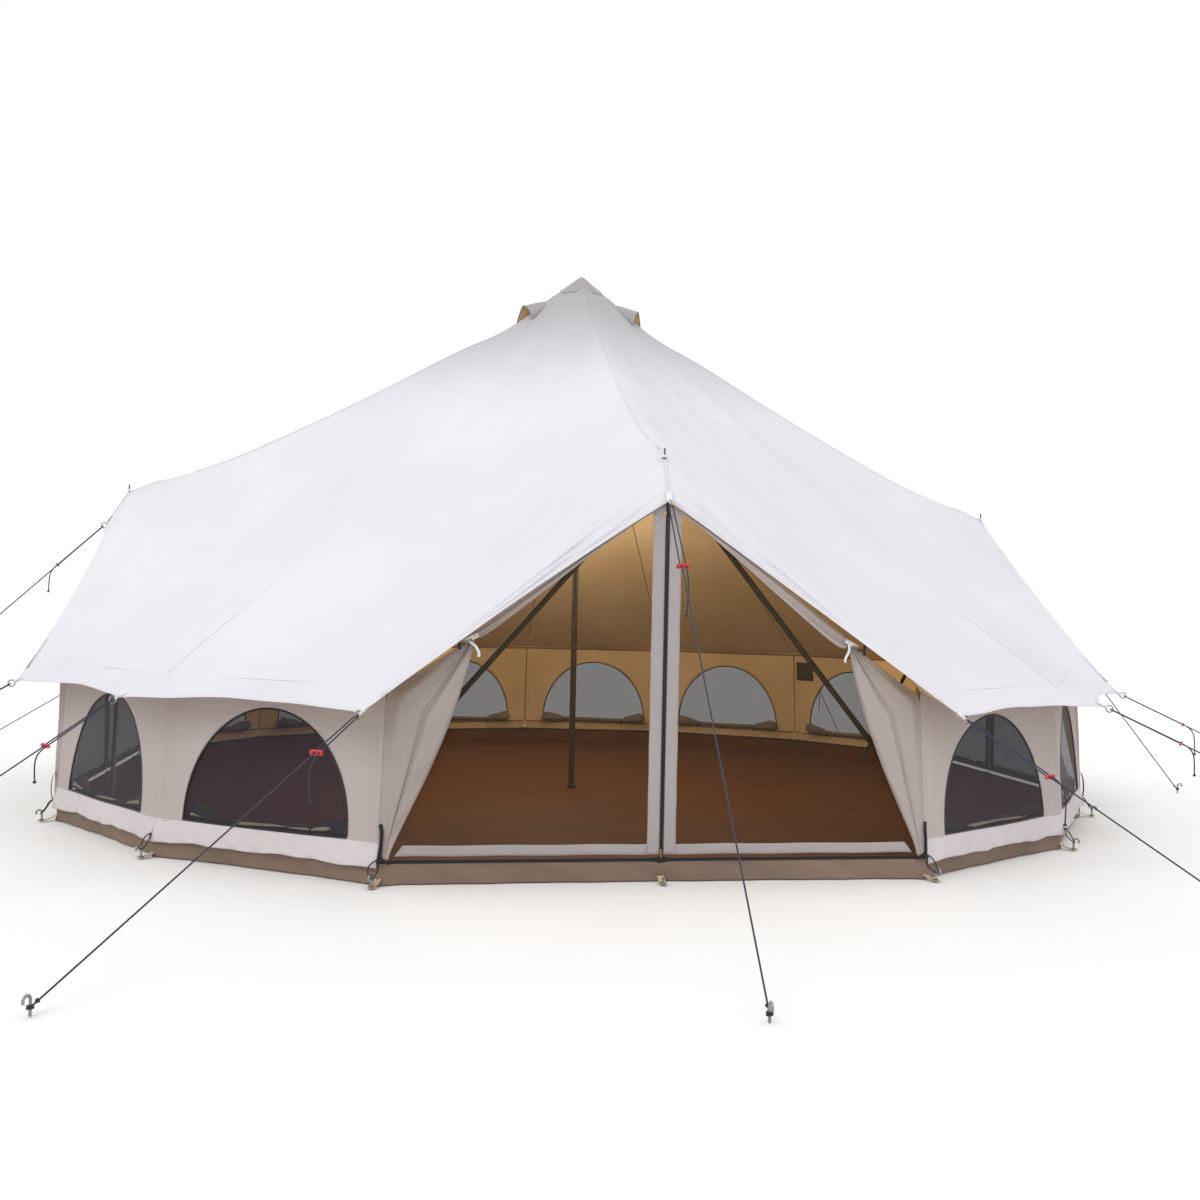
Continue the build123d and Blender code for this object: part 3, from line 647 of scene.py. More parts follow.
def tensioner_mesh(t_at, s, d):
    """Flat bar with three rope holes and rounded ends, its length along s, the rope along d."""
    hole, half_w, half_h, half_t, end = 0.0039, 0.0065, 0.010, 0.004, 0.028
    n = np.cross(d, s)
    seg = 32
    P, F = [], []

    def border(cx, k):
        a = 2 * math.pi * k / seg + math.pi / seg
        c, q = math.cos(a), math.sin(a)
        left = -half_w
        rgt = half_w
        if cx > 0:
            rgt = end - cx
        if cx < 0:
            left = -(end + cx)
        lim = min((rgt / c if c > 1e-9 else (left / c if c < -1e-9 else 9)), (half_h / abs(q) if abs(q) > 1e-9 else 9))
        x, y = c * lim, q * lim
        # round the outer ends
        far = (cx > 0 and x > rgt - 0.009) or (cx < 0 and x < left + 0.009)
        if far:
            ex = (rgt - 0.009) if cx > 0 else (left + 0.009)
            dx = abs(x - ex) / 0.009
            dy = abs(y) / half_h
            m = max(dx, dy)
            ln = math.hypot(dx, dy)
            if ln > 1e-9:
                kx = m / ln
                x = ex + (x - ex) * kx
                y = y * kx
        return x, y

    for cx in (-0.013, 0.0, 0.013):
        for ring in range(4):
            for k in range(seg):
                a = 2 * math.pi * k / seg + math.pi / seg
                hx, hy = hole * math.cos(a), hole * math.sin(a)
                bx, by = border(cx, k)
                f = ring / 3
                P.append((cx + hx + (bx - hx) * f, hy + (by - hy) * f))
    P = np.array(P)
    for c in range(3):
        base = c * 4 * seg
        for ring in range(3):
            for k in range(seg):
                k2 = (k + 1) % seg
                F.append([base + ring * seg + k, base + ring * seg + k2, base + (ring + 1) * seg + k2, base + (ring + 1) * seg + k])
    V3 = np.array([np.asarray(t_at) + s * x + n * y for x, y in P])
    V3, F, _, _ = weld(V3, F, tol=2e-5)
    N = np.broadcast_to(np.asarray(d), V3.shape)
    W, F2, _, _ = thicken(V3, F, 2 * half_t, normals=N)
    return W, F2


tensioners, ropes = {}, {}
loops = []
for name, route in GUYS.items():
    P = [np.array(p) for p in route]
    A, B, Q0 = P[1], P[2], P[3]
    s = unit(A - B)
    d = unit(Q0 - B)
    uc = (A + B) / 2 + d * 0.013
    t_dist = float((Q0 - uc) @ d) - 0.034

    def at(across, down):
        return uc + s * across + d * down

    # the standing part comes up through the middle hole, turns through the
    # ring and comes back to the other end hole, from which the tail hangs
    pts = [P[0], at(0.0045, t_dist + 0.10), at(0.0030, t_dist + 0.014), at(0.0118, t_dist - 0.010),
           at(0.0105, t_dist - 0.080), at(0.0080, 0.040), at(0.0080, -0.012), at(-0.0080, -0.012),
           at(-0.0080, 0.040), at(-0.0118, t_dist - 0.045), Q0, P[4], P[5], P[6]]
    cu = bpy.data.curves.new("guy_rope_" + name + "_line", "CURVE")
    cu.dimensions = "3D"
    sp = cu.splines.new("NURBS")
    sp.points.add(len(pts) - 1)
    for q, p in zip(sp.points, pts):
        q.co = (*p, 1.0)
    sp.order_u = 3
    sp.use_endpoint_u = True
    sp.resolution_u = 12
    cu.bevel_depth = ROPE_D / 2
    cu.bevel_resolution = 3
    cu.use_fill_caps = True
    cu.materials.append(M["rope"])
    ob = bpy.data.objects.new("rope_" + name, cu)
    C.objects.link(ob)
    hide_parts("guy_rope_" + name)
    ropes[name] = ob

    # knot under the tail and the loop tied round the stake
    tail_dir = unit(P[6] - P[5])
    kv = knot_mesh(P[6] + tail_dir * 0.004, 0.0105, 0.0056, tail_dir)
    box_lo, box_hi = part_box("guy_rope_" + name)
    dh = unit(np.array([d[0], d[1], 0]))
    stake = P[0] + dh * (0.0045 + ROPE_D / 2 * abs(d[2]) + 0.0012)
    a = np.linspace(0, 2 * math.pi, 41)[:-1]
    side = np.array([-dh[1], dh[0], 0])
    lv = []
    for turns, zz in ((0.0083, 0.021), (0.0083, 0.0275)):
        ring = np.stack([stake[0] + turns * (np.cos(a) * dh[0] + np.sin(a) * side[0]),
                         stake[1] + turns * (np.cos(a) * dh[1] + np.sin(a) * side[1]),
                         zz + 0.0012 * np.sin(a)], axis=1)
        ring = np.vstack([ring, ring[:2]])
        lv.append(tube(ring, 0.0029, 7, caps=False))
    lv.append(knot_mesh(P[0] - d * 0.020, 0.0100, 0.0054, d))
    V, F, U = joined([kv] + lv)
    kn = make("rope_knots_" + name, V, F, ["rope"], uvs=U)
    V, F = tensioner_mesh(at(0, t_dist), s, d)
    tn = make("tensioner_" + name, V, F, ["red"], shade=False)
    bv = tn.modifiers.new("bevel", "BEVEL")
    bv.width = 0.0012
    bv.segments = 2
    bv.limit_method = "ANGLE"
    bv.angle_limit = math.radians(50)
    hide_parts("guy_tensioner_" + name)
    tensioners[name] = tn
    ride(ob)
    ride(kn)
    ride(tn, "tensioner_" + name)
    loops.append((name, uc, s, d))

# ---------------------------------------------------------------------------
# Studio
# ---------------------------------------------------------------------------
floor_k = Nodes("studio_floor")
floor_k.set(Base_Color=(0.86, 0.86, 0.86, 1), Roughness=0.9)
studio = make("studio_floor", [(-60, -60, -0.003), (60, -60, -0.003), (60, 60, -0.003), (-60, 60, -0.003)],
              [(0, 1, 2, 3)], [floor_k.m], shade=False)
world = bpy.data.worlds.new("studio")
world.use_nodes = True
bg = next(n for n in world.node_tree.nodes if n.type == "BACKGROUND")
bg.inputs["Color"].default_value = (1, 1, 1, 1)
bg.inputs["Strength"].default_value = 1.0
bpy.context.scene.world = world
bpy.context.scene.view_settings.view_transform = "Standard"


def light(name, kind, loc, energy, aim=(0, 0, 1), size=1.0, colour=(1, 1, 1)):
    ld = bpy.data.lights.new(name, kind)
    ld.energy = energy
    ld.color = colour
    if kind == "SUN":
        ld.angle = size
    elif kind == "AREA":
        ld.shape = "DISK"
        ld.size = size
    else:
        ld.shadow_soft_size = size
    ob = bpy.data.objects.new(name, ld)
    C.objects.link(ob)
    ob.matrix_world = Matrix.Translation(loc) @ (Vector(aim) - Vector(loc)).to_track_quat("-Z", "Y").to_matrix().to_4x4()
    return ob


light("key", "SUN", (-4.2, -8, 9), 1.0, size=math.radians(38))
for k, az in enumerate((60, 180, -60)):
    p = pt(az, 1.15, 1.55)
    light(f"inside_{k}", "POINT", tuple(p), 42, size=0.45, colour=(1.0, 0.90, 0.76))


# ---------------------------------------------------------------------------
# Canopy: one sheet, the roof cone with its free eave and the three door hoods
# ---------------------------------------------------------------------------
SEG = 16                      # columns in each 22.5 degree side
NC = 16 * SEG
N1, N2, N3 = 60, 7, 20        # rows: peak to seam, seam to eave, hood
R0 = 0.050                    # the sheet starts here, under the sewn cap


def ridge_drop(r, length, amount, tip):
    """How far a ridge hangs under the straight line from the peak."""
    t = np.clip(r / length, 0, 1)
    return amount * 4 * t * (1 - t) * (1.12 - 0.25 * t) + tip * np.exp(-((r - 0.46) / 0.21) ** 2)


def canopy_lines():
    """For each column: seam point, eave point, whether it is in a door sector."""
    seam_p, eave_p, kind = [], [], []
    for j in range(NC):
        az = j * 360.0 / NC
        az = az - 360 if az > 180 else az
        k = math.floor(az / STEP + 1e-9)
        u = az / STEP - k
        a, b = k * STEP, (k + 1) * STEP
        near = [d for d in DOORS.values() if abs(az - d) <= STEP - 1e-6]
        if near:
            dz = near[0]
            side = 1 if az >= dz else -1
            corner = dz + side * STEP
            w = abs(az - dz) / STEP           # 0 at the spike, 1 at the corner
            spike = pt(dz, SPIKE_R, SPIKE_Z)
            v, e = pt(corner, SEAM_R, SEAM_Z), pt(corner, EAVE_R, EAVE_Z)
            seam_p.append(spike + (v - spike) * w)
            eave_p.append(spike + (e - spike) * w)
            kind.append((dz, side, w))
        else:
            sa, sb = pt(a, SEAM_R, SEAM_Z), pt(b, SEAM_R, SEAM_Z)
            ea, eb = pt(a, EAVE_R, EAVE_Z), pt(b, EAVE_R, EAVE_Z)
            m = 4 * u * (1 - u)
            out = unit(pt((a + b) / 2, 1.0))
            seam_p.append(sa + (sb - sa) * u - out * 0.006 * m)
            eave_p.append(ea + (eb - ea) * u - out * 0.062 * m + np.array([0, 0, 0.020 * m]))
            kind.append(None)
    return np.array(seam_p), np.array(eave_p), kind


def hood_edge(dz, side, w):
    """The hood's free edge: w = 0 at its lip, 1 at the eave corner."""
    lip = pt(dz, LIP_R, LIP_Z)
    e = pt(dz + side * STEP, EAVE_R, EAVE_Z)
    p = lip + (e - lip) * w
    out = unit(pt(dz, 1.0))
    m = 4 * w * (1 - w)
    return p - out * 0.060 * m + np.array([0, 0, 0.016 * m])


def solve_canopy():
    seam_p, eave_p, kind = canopy_lines()
    rows = N1 + N2 + 1
    t = (np.linspace(0, 1, N1 + 1) ** 1.25)
    X = np.zeros((rows, NC, 3))
    fixed = np.zeros((rows, NC), bool)
    for j in range(NC):
        S, E = seam_p[j], eave_p[j]
        rs = math.hypot(S[0], S[1])
        dirn = S[:2] / rs
        r = R0 + (rs - R0) * t
        z = PEAK_Z + (S[2] - PEAK_Z) * r / rs
        X[:N1 + 1, j, 0], X[:N1 + 1, j, 1], X[:N1 + 1, j, 2] = dirn[0] * r, dirn[1] * r, z
        for i in range(1, N2 + 1):
            X[N1 + i, j] = S + (E - S) * i / N2
    # ridges that the panels are stretched between
    for j in range(NC):
        k = j / SEG
        on_ridge = abs(k - round(k)) < 1e-9
        spike = kind[j] is not None and kind[j][2] == 0
        ln = SPIKE_R if spike else SEAM_R
        r = np.hypot(X[:N1 + 1, j, 0], X[:N1 + 1, j, 1])
        drop = ridge_drop(r, ln, 0.098 if spike else 0.075, 0.042)
        X[:N1 + 1, j, 2] -= drop
        if on_ridge:
            fixed[:N1 + 1, j] = True
        if kind[j] is None:
            fixed[N1, j] = True
            fixed[-1, j] = True
        if spike:
            fixed[N1:, j] = True
        if kind[j] is None and on_ridge:
            fixed[N1:, j] = True
    fixed[0, :] = True
    corners_j = [int(round(((a % 360) / 360) * NC)) % NC for a in CORNERS]
    for j in corners_j:
        fixed[N1:, j] = True
    # rows that go on into the hoods
    H = {}
    for dz in DOORS.values():
        j0 = int(round((dz % 360) / 360 * NC))
        cols = [(j0 + q) % NC for q in range(-SEG, SEG + 1)]
        Y = np.zeros((N3 + 1, len(cols), 3))
        fx = np.zeros((N3 + 1, len(cols)), bool)
        for c, j in enumerate(cols):
            q = c - SEG
            w = abs(q) / SEG
            side = 1 if q >= 0 else -1
            edge = hood_edge(dz, side, w)
            for i in range(N3 + 1):
                Y[i, c] = X[-1, j] + (edge - X[-1, j]) * i / N3
            fx[N3, c] = True
            if w == 1 or w == 0:
                fx[:, c] = True
        H[dz] = (cols, Y, fx)
    # number the points: the roof's, then each hood's own rows
    index = np.arange(rows * NC).reshape(rows, NC)
    P = [X.reshape(-1, 3)]
    FX = [fixed.ravel()]
    total = rows * NC
    hood_index = {}
    for dz, (cols, Y, fx) in H.items():
        ids = np.zeros((N3 + 1, len(cols)), int)
        ids[0] = index[-1, cols]
        n = N3 * len(cols)
        ids[1:] = total + np.arange(n).reshape(N3, len(cols))
        total += n
        P.append(Y[1:].reshape(-1, 3))
        FX.append(fx[1:].ravel())
        hood_index[dz] = ids
        FX[0][ids[0][fx[0]]] = True
    P = np.vstack(P)
    FX = np.concatenate(FX)

    def edges_of(ids, wrap):
        down = np.stack([ids[:-1].ravel(), ids[1:].ravel()], 1)
        across = np.stack([ids[:, :-1].ravel(), ids[:, 1:].ravel()], 1)
        if wrap:
            across = np.vstack([across, np.stack([ids[:, -1], ids[:, 0]], 1)])
        return down, across

    D, A = [], []
    for ids, wrap in [(index, True)] + [(h, False) for h in hood_index.values()]:
        a, b = edges_of(ids, wrap)
        D.append(a)
        A.append(b)
    D, A = np.vstack(D), np.vstack(A)

    def lengths(E):
        return np.linalg.norm(P[E[:, 0]] - P[E[:, 1]], axis=1)

    def mean_at(E, L):
        s = np.bincount(E.ravel(), weights=np.repeat(L, 2), minlength=total)
        c = np.bincount(E.ravel(), minlength=total)
        return s / np.maximum(c, 1)

    LD, LA = lengths(D), lengths(A)
    wide, high = mean_at(A, LA), mean_at(D, LD)
    qD = (wide[D].mean(1)) / np.maximum(LD, 1e-4) * 1.0
    qA = (high[A].mean(1)) / np.maximum(LA, 1e-4) * 0.42
    E = np.vstack([D, A])
    q = np.concatenate([np.minimum(qD, 60), np.minimum(qA, 60)])
    diag = np.bincount(E.ravel(), weights=np.repeat(q, 2), minlength=total)
    free = ~FX

    def apply(v):
        out = diag[:, None] * v
        for c in range(3):
            out[:, c] -= np.bincount(E[:, 0], weights=q * v[E[:, 1], c], minlength=total)
            out[:, c] -= np.bincount(E[:, 1], weights=q * v[E[:, 0], c], minlength=total)
        return out

    x = P.copy()
    load = np.zeros_like(P)
    load[:, 2] = -0.16 * wide * high      # the cloth's own weight, so panels hang a little
    r = load - apply(x)
    r[FX] = 0
    z = r / diag[:, None]
    p = z.copy()
    rz = (r * z).sum(0)
    for it in range(900):
        Ap = apply(p)
        Ap[FX] = 0
        alpha = rz / np.maximum((p * Ap).sum(0), 1e-30)
        x += alpha * p
        r -= alpha * Ap
        z = r / diag[:, None]
        new = (r * z).sum(0)
        if new.max() < 1e-13:
            break
        p = z + (new / np.maximum(rz, 1e-30)) * p
        rz = new
    # soften the ridges, which are sewn cloth and not folded sheet
    hard = FX.copy()
    hard[index[:N1 + 1].ravel()] = False
    hard[index[0]] = True
    for j in range(NC):
        if kind[j] is None:
            hard[index[N1, j]] = True
    for dz in DOORS.values():
        j0 = int(round((dz % 360) / 360 * NC))
        hard[index[N1 - 3:, j0]] = True
    for j in corners_j:
        hard[index[N1, j]] = True
    ease = np.ones(total)
    for a in list(DOORS.values()) + CORNERS:
        q = pt(a, SPIKE_R, SPIKE_Z) if a in DOORS.values() else pt(a, SEAM_R, SEAM_Z)
        ease = np.minimum(ease, smooth((np.linalg.norm(x - q, axis=1) - 0.05) / 0.75))
    w_e = np.ones(len(E))
    dg = np.bincount(E.ravel(), weights=np.repeat(w_e, 2), minlength=total)
    for _ in range(5):
        avg = np.zeros_like(x)
        for c in range(3):
            avg[:, c] = (np.bincount(E[:, 0], weights=x[E[:, 1], c], minlength=total)
                         + np.bincount(E[:, 1], weights=x[E[:, 0], c], minlength=total)) / dg
        step = (avg - x) * 0.35 * ease[:, None]
        step[hard] = 0
        x += step
    return x, index, hood_index, kind


def canopy_detail(x, index, hood_index, kind, N):
    """Folds, hem ripples and slack, as moves along the normal."""
    move = np.zeros(len(x))
    rows = index.shape[0]
    ii, jj = np.meshgrid(np.arange(rows), np.arange(NC), indexing="ij")
    az = (jj * 360.0 / NC + 180) % 360 - 180
    r = np.hypot(x[index][..., 0], x[index][..., 1])
    m = np.zeros((rows, NC))
    # soft folds that run down from the peak, strongest on the left side
    for a0, w, r0, r1, h in ((-62, 3.2, 0.55, 1.75, 0.010), (-55, 2.2, 0.5, 1.5, -0.008), (-48, 2.4, 0.6, 1.8, 0.009),
                             (-38, 2.6, 0.35, 2.1, 0.010), (-31, 2.0, 0.4, 1.6, -0.007), (-24, 2.8, 0.5, 1.3, 0.006),
                             (24, 3.4, 0.5, 1.9, 0.008), (37, 2.8, 0.5, 2.0, -0.007), (52, 3.0, 0.5, 1.7, 0.007),
                             (104, 3.0, 0.5, 1.8, 0.008), (118, 3.2, 0.5, 2.0, -0.008), (140, 3.4, 0.5, 1.9, 0.008),
                             (158, 2.6, 0.5, 1.6, 0.006), (-104, 3.0, 0.4, 1.8, 0.008), (-121, 3.0, 0.5, 2.0, -0.007),
                             (-142, 3.2, 0.5, 1.8, 0.008), (-163, 3.0, 0.5, 1.9, 0.006)):
        wander = a0 + 1.6 * np.sin(r * 2.3 + a0)
        g = np.exp(-((az - wander) / w) ** 2)
        f = smooth((r - r0) / 0.25) * smooth((r1 - r) / 0.6)
        m += h * g * f
    # low slack over every panel
    m += 0.004 * np.sin(r * 3.1 + az * 0.21) * np.sin(az * 0.47 + 1.3) * smooth((r - 0.4) / 0.6) * smooth((2.9 - r) / 0.5)
    # ripples at the free eave
    below = np.clip((ii - N1) / N2, 0, 1)
    lap = np.array([0.0 if kind[j] is not None else 1.0 for j in range(NC)])[None, :]
    u = (jj % SEG) / SEG
    m += lap * below * 0.0030 * np.sin(u * 2 * math.pi * 2.5 + jj // SEG * 1.9) * np.sin(u * math.pi)
    # pull lines from each eave corner up into the roof
    for a in CORNERS:
        da = (az - a + 180) % 360 - 180
        reach = smooth((r - 2.2) / 0.6)
        m += 0.006 * np.exp(-(da / 1.5) ** 2) * reach * (1 - below * 0.5)
        m -= 0.004 * np.exp(-((np.abs(da) - 4.2) / 1.7) ** 2) * reach
    hard_j = [int(round((a % 360) / 360 * NC)) % NC for a in CORNERS]
    m[-1, hard_j] = 0
    m[N1, :] *= 0.15
    m[N1 + 1, :] *= 0.5
    m[N1 - 1, :] *= 0.6
    m[:3] = 0
    move[index.ravel()] = m.ravel()
    # the gathers along the hoods, strongest near the spike
    for dz, ids in hood_index.items():
        seed = {0.0: 0.0, 90.0: 1.7, -90.0: 3.1}[dz]
        cols = ids.shape[1]
        for c in range(cols):
            q = c - SEG
            w = abs(q) / SEG
            for i in range(ids.shape[0]):
                v = i / N3
                fade = smooth((w - 0.02) / 0.08) * (1 - smooth((w - 0.34) / 0.50))
                wave = math.sin(2 * math.pi * (v * 2.6 + w * 0.9 + seed + (0.17 if q > 0 else 0.4) + 0.10 * math.sin(w * 19 + seed)))
                wave2 = math.sin(2 * math.pi * (v * 3.6 - w * 1.9 + seed * 2))
                amp = 0.0085 * fade * (1 - 0.70 * w) * (0.30 + 0.70 * math.sin(math.pi * min(1, max(0.0, v))))
                move[ids[i, c]] += amp * (wave + 0.40 * wave2) * (0.5 if i == N3 else 1.0)
                # the loose hem lower down
                move[ids[i, c]] += 0.006 * math.sin(w * 11 + seed + (1 if q > 0 else 0)) * smooth((w - 0.45) / 0.2) * smooth((0.97 - w) / 0.12) * v
        # and they run on a little into the roof above the fold
        for c in range(cols):
            q = c - SEG
            w = abs(q) / SEG
            j = (int(round((dz % 360) / 360 * NC)) + q) % NC
            for i in range(N1 - 9, N1 + N2):
                k = (i - (N1 - 9)) / (9 + N2)
                fade = smooth((w - 0.03) / 0.1) * (1 - smooth((w - 0.22) / 0.3)) * smooth(k)
                move[index[i, j]] += 0.004 * fade * math.sin(2 * math.pi * (k * 1.7 + w * 2.3 + seed))
    y = x + N * move[:, None]
    for dz, ids in hood_index.items():
        j0 = int(round((dz % 360) / 360 * NC))
        y[index[N1:, j0]] = pt(dz, SPIKE_R, SPIKE_Z)
        y[ids[0, SEG]] = pt(dz, SPIKE_R, SPIKE_Z)
        y[ids[:, 0]] = pt(dz - STEP, EAVE_R, EAVE_Z)
        y[ids[:, -1]] = pt(dz + STEP, EAVE_R, EAVE_Z)
    return y


def canopy_faces(index, hood_index):
    F = []
    rows = index.shape[0]
    for i in range(rows - 1):
        for j in range(NC):
            j2 = (j + 1) % NC
            F.append([index[i, j], index[i + 1, j], index[i + 1, j2], index[i, j2]])
    for ids in hood_index.values():
        for i in range(ids.shape[0] - 1):
            for c in range(ids.shape[1] - 1):
                F.append([ids[i, c], ids[i + 1, c], ids[i + 1, c + 1], ids[i, c + 1]])
    return F


cx, c_index, c_hoods, c_kind = solve_canopy()
# the frame's legs hold the cloth up at each door, so the fold from spike to corner stays nearly straight
for dz, ids in c_hoods.items():
    j0 = int(round((dz % 360) / 360 * NC))
    shift = np.zeros_like(cx)
    spike_ = pt(dz, SPIKE_R, SPIKE_Z)
    for c in range(ids.shape[1]):
        side_ = 1 if c >= SEG else -1
        w = abs(c - SEG) / SEG
        line = spike_ + (pt(dz + side_ * STEP, EAVE_R, EAVE_Z) - spike_) * w
        D = (line - cx[ids[0, c]]) * (0.82 - 0.35 * w)
        for i in range(N1 - 17, c_index.shape[0]):
            shift[c_index[i, (j0 + c - SEG) % NC]] = D * smooth((i - (N1 - 17)) / 17.0) ** 1.4
        for i in range(ids.shape[0]):
            shift[ids[i, c]] = D * (1 - i / N3)
    cx = cx + shift
c_faces = canopy_faces(c_index, c_hoods)
cN = normals_of(cx, c_faces)
c_flat = cx.copy()
cx = canopy_detail(cx, c_index, c_hoods, c_kind, cN)
# ease any point where a fold would turn the cloth over on itself
fq = np.array(c_faces)
pinned = np.zeros(len(cx), bool)
pinned[c_index[0]] = True
pinned[c_index[-1]] = True
for j_ in [int(round((a % 360) / 360 * NC)) % NC for a in CORNERS] + [int(round((d % 360) / 360 * NC)) % NC for d in DOORS.values()]:
    pinned[c_index[N1, j_]] = True
for ids in c_hoods.values():
    pinned[ids[-1]] = True
    pinned[ids[:, 0]] = True
    pinned[ids[:, -1]] = True
pair = np.vstack([fq[:, [0, 1]], fq[:, [1, 2]], fq[:, [2, 3]], fq[:, [3, 0]]])
deg = np.bincount(pair.ravel(), minlength=len(cx)).astype(float)
away = np.ones(len(cx), bool)
for dz in DOORS.values():
    away &= np.linalg.norm(cx - pt(dz, SPIKE_R, SPIKE_Z), axis=1) > 0.30
for turn_ in range(10):
    fn = np.cross(cx[fq[:, 2]] - cx[fq[:, 0]], cx[fq[:, 3]] - cx[fq[:, 1]])
    ln_ = np.linalg.norm(fn, axis=1)
    fn = fn / np.maximum(ln_, 1e-12)[:, None]
    vn, _ = soften(cx, c_faces, normals_of(cx, c_faces), 3) if turn_ % 5 == 0 else (vn, None)
    agree = (fn * (vn[fq].mean(1))).sum(1)
    bad = (agree < 0.10) & (ln_ > 2e-7) & away[fq].all(1)
    if turn_ in (0, 9):
        print("turned-over cells", int(bad.sum()))
    if not bad.any():
        break
    near = np.zeros(len(cx), bool)
    near[fq[bad].ravel()] = True
    near &= ~pinned
    avg = np.zeros_like(cx)
    for c in range(3):
        avg[:, c] = (np.bincount(pair[:, 0], weights=cx[pair[:, 1], c], minlength=len(cx))
                     + np.bincount(pair[:, 1], weights=cx[pair[:, 0], c], minlength=len(cx))) / deg
    cx[near] += (avg - cx)[near] * 0.55
c_uv = np.zeros((len(cx), 2))
rr = np.hypot(cx[:, 0], cx[:, 1])
ang = np.arctan2(cx[:, 0], -cx[:, 1])
c_uv[:, 0] = ang * 2.0
c_uv[:, 1] = np.hypot(rr, PEAK_Z - cx[:, 2])
cV, cF, cUV, _ = weld(cx, c_faces, c_uv, tol=2e-4)
cNs, c_len = soften(cV, cF, normals_of(cV, cF), 4)
W, F, mats, UV = thicken(cV, cF, np.clip(c_len * 0.12, 0.0002, 0.0016), outer=0, inner=1, rim=2, uvs=cUV, normals=cNs)
canopy = make("canopy", W, F, ["roof", "inner", "hem"], mats, UV)
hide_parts("roof_canopy", "door_hoods")
ride(canopy)
for f in cF:
    a = cV[f[0]]

# ---------------------------------------------------------------------------
# Perimeter of the base, for the groundsheet and its zip
# ---------------------------------------------------------------------------
SIDES = []
for i, a in enumerate(CORNERS):
    b = CORNERS[(i + 1) % len(CORNERS)]
    SIDES.append((a, a + (b - a) % 360, (b - a) % 360 > 30))


def perimeter(radius, n_side=26, n_door=46):
    """Points round the base, outward normals, position along each side and whether it is a door."""
    P, N, Ulist, D, S = [], [], [], [], []
    for a, b, door in SIDES:
        n = n_door if door else n_side
        p0, p1 = pt(a, radius), pt(b, radius)
        out = unit(pt((a + b) / 2, 1.0))
        for k in range(n):
            u = k / n
            P.append(p0 + (p1 - p0) * u)
            N.append(out if k else unit(pt(a, 1.0)))
            Ulist.append(u)
            D.append(door)
            S.append(a)
    return np.array(P), np.array(N), np.array(Ulist), np.array(D), np.array(S)


pP, pN, pU, pD, pS = perimeter(2.992)
side_len = np.where(pD, 2 * DOOR_HALF, 2 * R_BASE * math.sin(math.radians(STEP / 2)))
arc = np.concatenate([[0], np.cumsum(np.linalg.norm(np.diff(pP, axis=0), axis=1))])
dist_c = np.minimum(pU, 1 - pU) * side_len           # distance to the nearest stake


def tub_offset(z):
    """How far out the upstand stands at height z: in between the stakes, out at them."""
    low = 1 - z / 0.09
    scallop = -0.016 * (4 * pU * (1 - pU)) ** 0.8 * low
    ear = 0.012 * np.exp(-(dist_c / 0.05) ** 2) * low
    wob = 0.0032 * np.sin(arc * 13.0 + z * 30) + 0.0026 * np.sin(arc * 29.0 + 1.0 + z * 60)
    fold = 0.0038 * np.sin(arc * 47.0) * np.exp(-(dist_c / 0.16) ** 2)
    return scallop + ear + (wob + fold) * smooth((0.095 - z) / 0.02)


tub_rows = [0.0022, 0.006, 0.014, 0.026, 0.040, 0.055, 0.070, 0.082, 0.0895]
floor_f = [0.10, 0.22, 0.34, 0.46, 0.58, 0.68, 0.77, 0.85, 0.91, 0.955, 0.982]
V, UVs = [np.array([[0, 0, 0.0030]])], [np.array([[0, 0]])]
ncol = len(pP)
for f in floor_f:
    q = pP * f
    bumpz = 0.0034 + 0.0012 * np.sin(q[:, 0] * 3.1 + q[:, 1] * 2.3) + 0.0008 * np.sin(q[:, 1] * 7.0 - q[:, 0] * 4.0)
    q = q.copy()
    q[:, 2] = np.clip(bumpz, 0.0018, 0.006)
    V.append(q)
    UVs.append(q[:, :2])
for z in tub_rows:
    lift = 0.010 * (4 * pU * (1 - pU)) ** 1.5 * (0.5 + 0.5 * np.sin(arc * 5.3)) * (1 - z / 0.09) * (z > 0.003)
    q = pP + pN * tub_offset(z)[:, None]
    q[:, 2] = z + lift * 0.35
    V.append(q)
    UVs.append(np.stack([arc, np.full(ncol, 3.0 + z)], 1))
V, UVs = np.vstack(V), np.vstack(UVs)
F = [[0, 1 + (j + 1) % ncol, 1 + j] for j in range(ncol)]
F += grid_faces(len(floor_f) + len(tub_rows), ncol, base=1, wrap=True)
Nn, _ = soften(V, F, normals_of(V, F), 1)
W, F2, mi, UV = thicken(V, F, 0.0014, outer=0, inner=1, rim=0, uvs=UVs, normals=Nn)
tub = make("groundsheet_cloth", W, F2, ["tub", "floor"], mi, UV)
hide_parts("groundsheet")
ride(tub)

# the zip between groundsheet and wall, and its wider ends at the doors
parts = []
top_off = tub_offset(0.0895)
for a, b, door in SIDES:
    sel = np.where(pS == a)[0]
    nxt = (sel[-1] + 1) % ncol
    ids = list(sel) + [nxt]
    q = (pP + pN * top_off[:, None])[ids]
    q[:, 2] = 0.0930
    out = unit(pt((a + b) / 2, 1.0))
    u = np.linspace(0, 1, len(ids))
    w = np.full(len(ids), 0.0145)
    if door:
        w = w + 0.010 * np.exp(-((u - 0.5) / 0.012) ** 2) + 0.004 * np.exp(-((u - 0.5) / 0.03) ** 2)
        q = resample(q, 160)
        u = np.linspace(0, 1, 160)
        w = 0.0155 + 0.012 * np.exp(-((u - 0.5) / 0.007) ** 2) + 0.006 * np.exp(-((u - 0.5) / 0.016) ** 2)
    parts.append(band(q, out, w, 0.0072, lift=-0.0036))
V, F, U = joined(parts)
gz = make("groundsheet_zip_tape", V, F, ["zip"], uvs=U)
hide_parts("groundsheet_zip")
ride(gz)


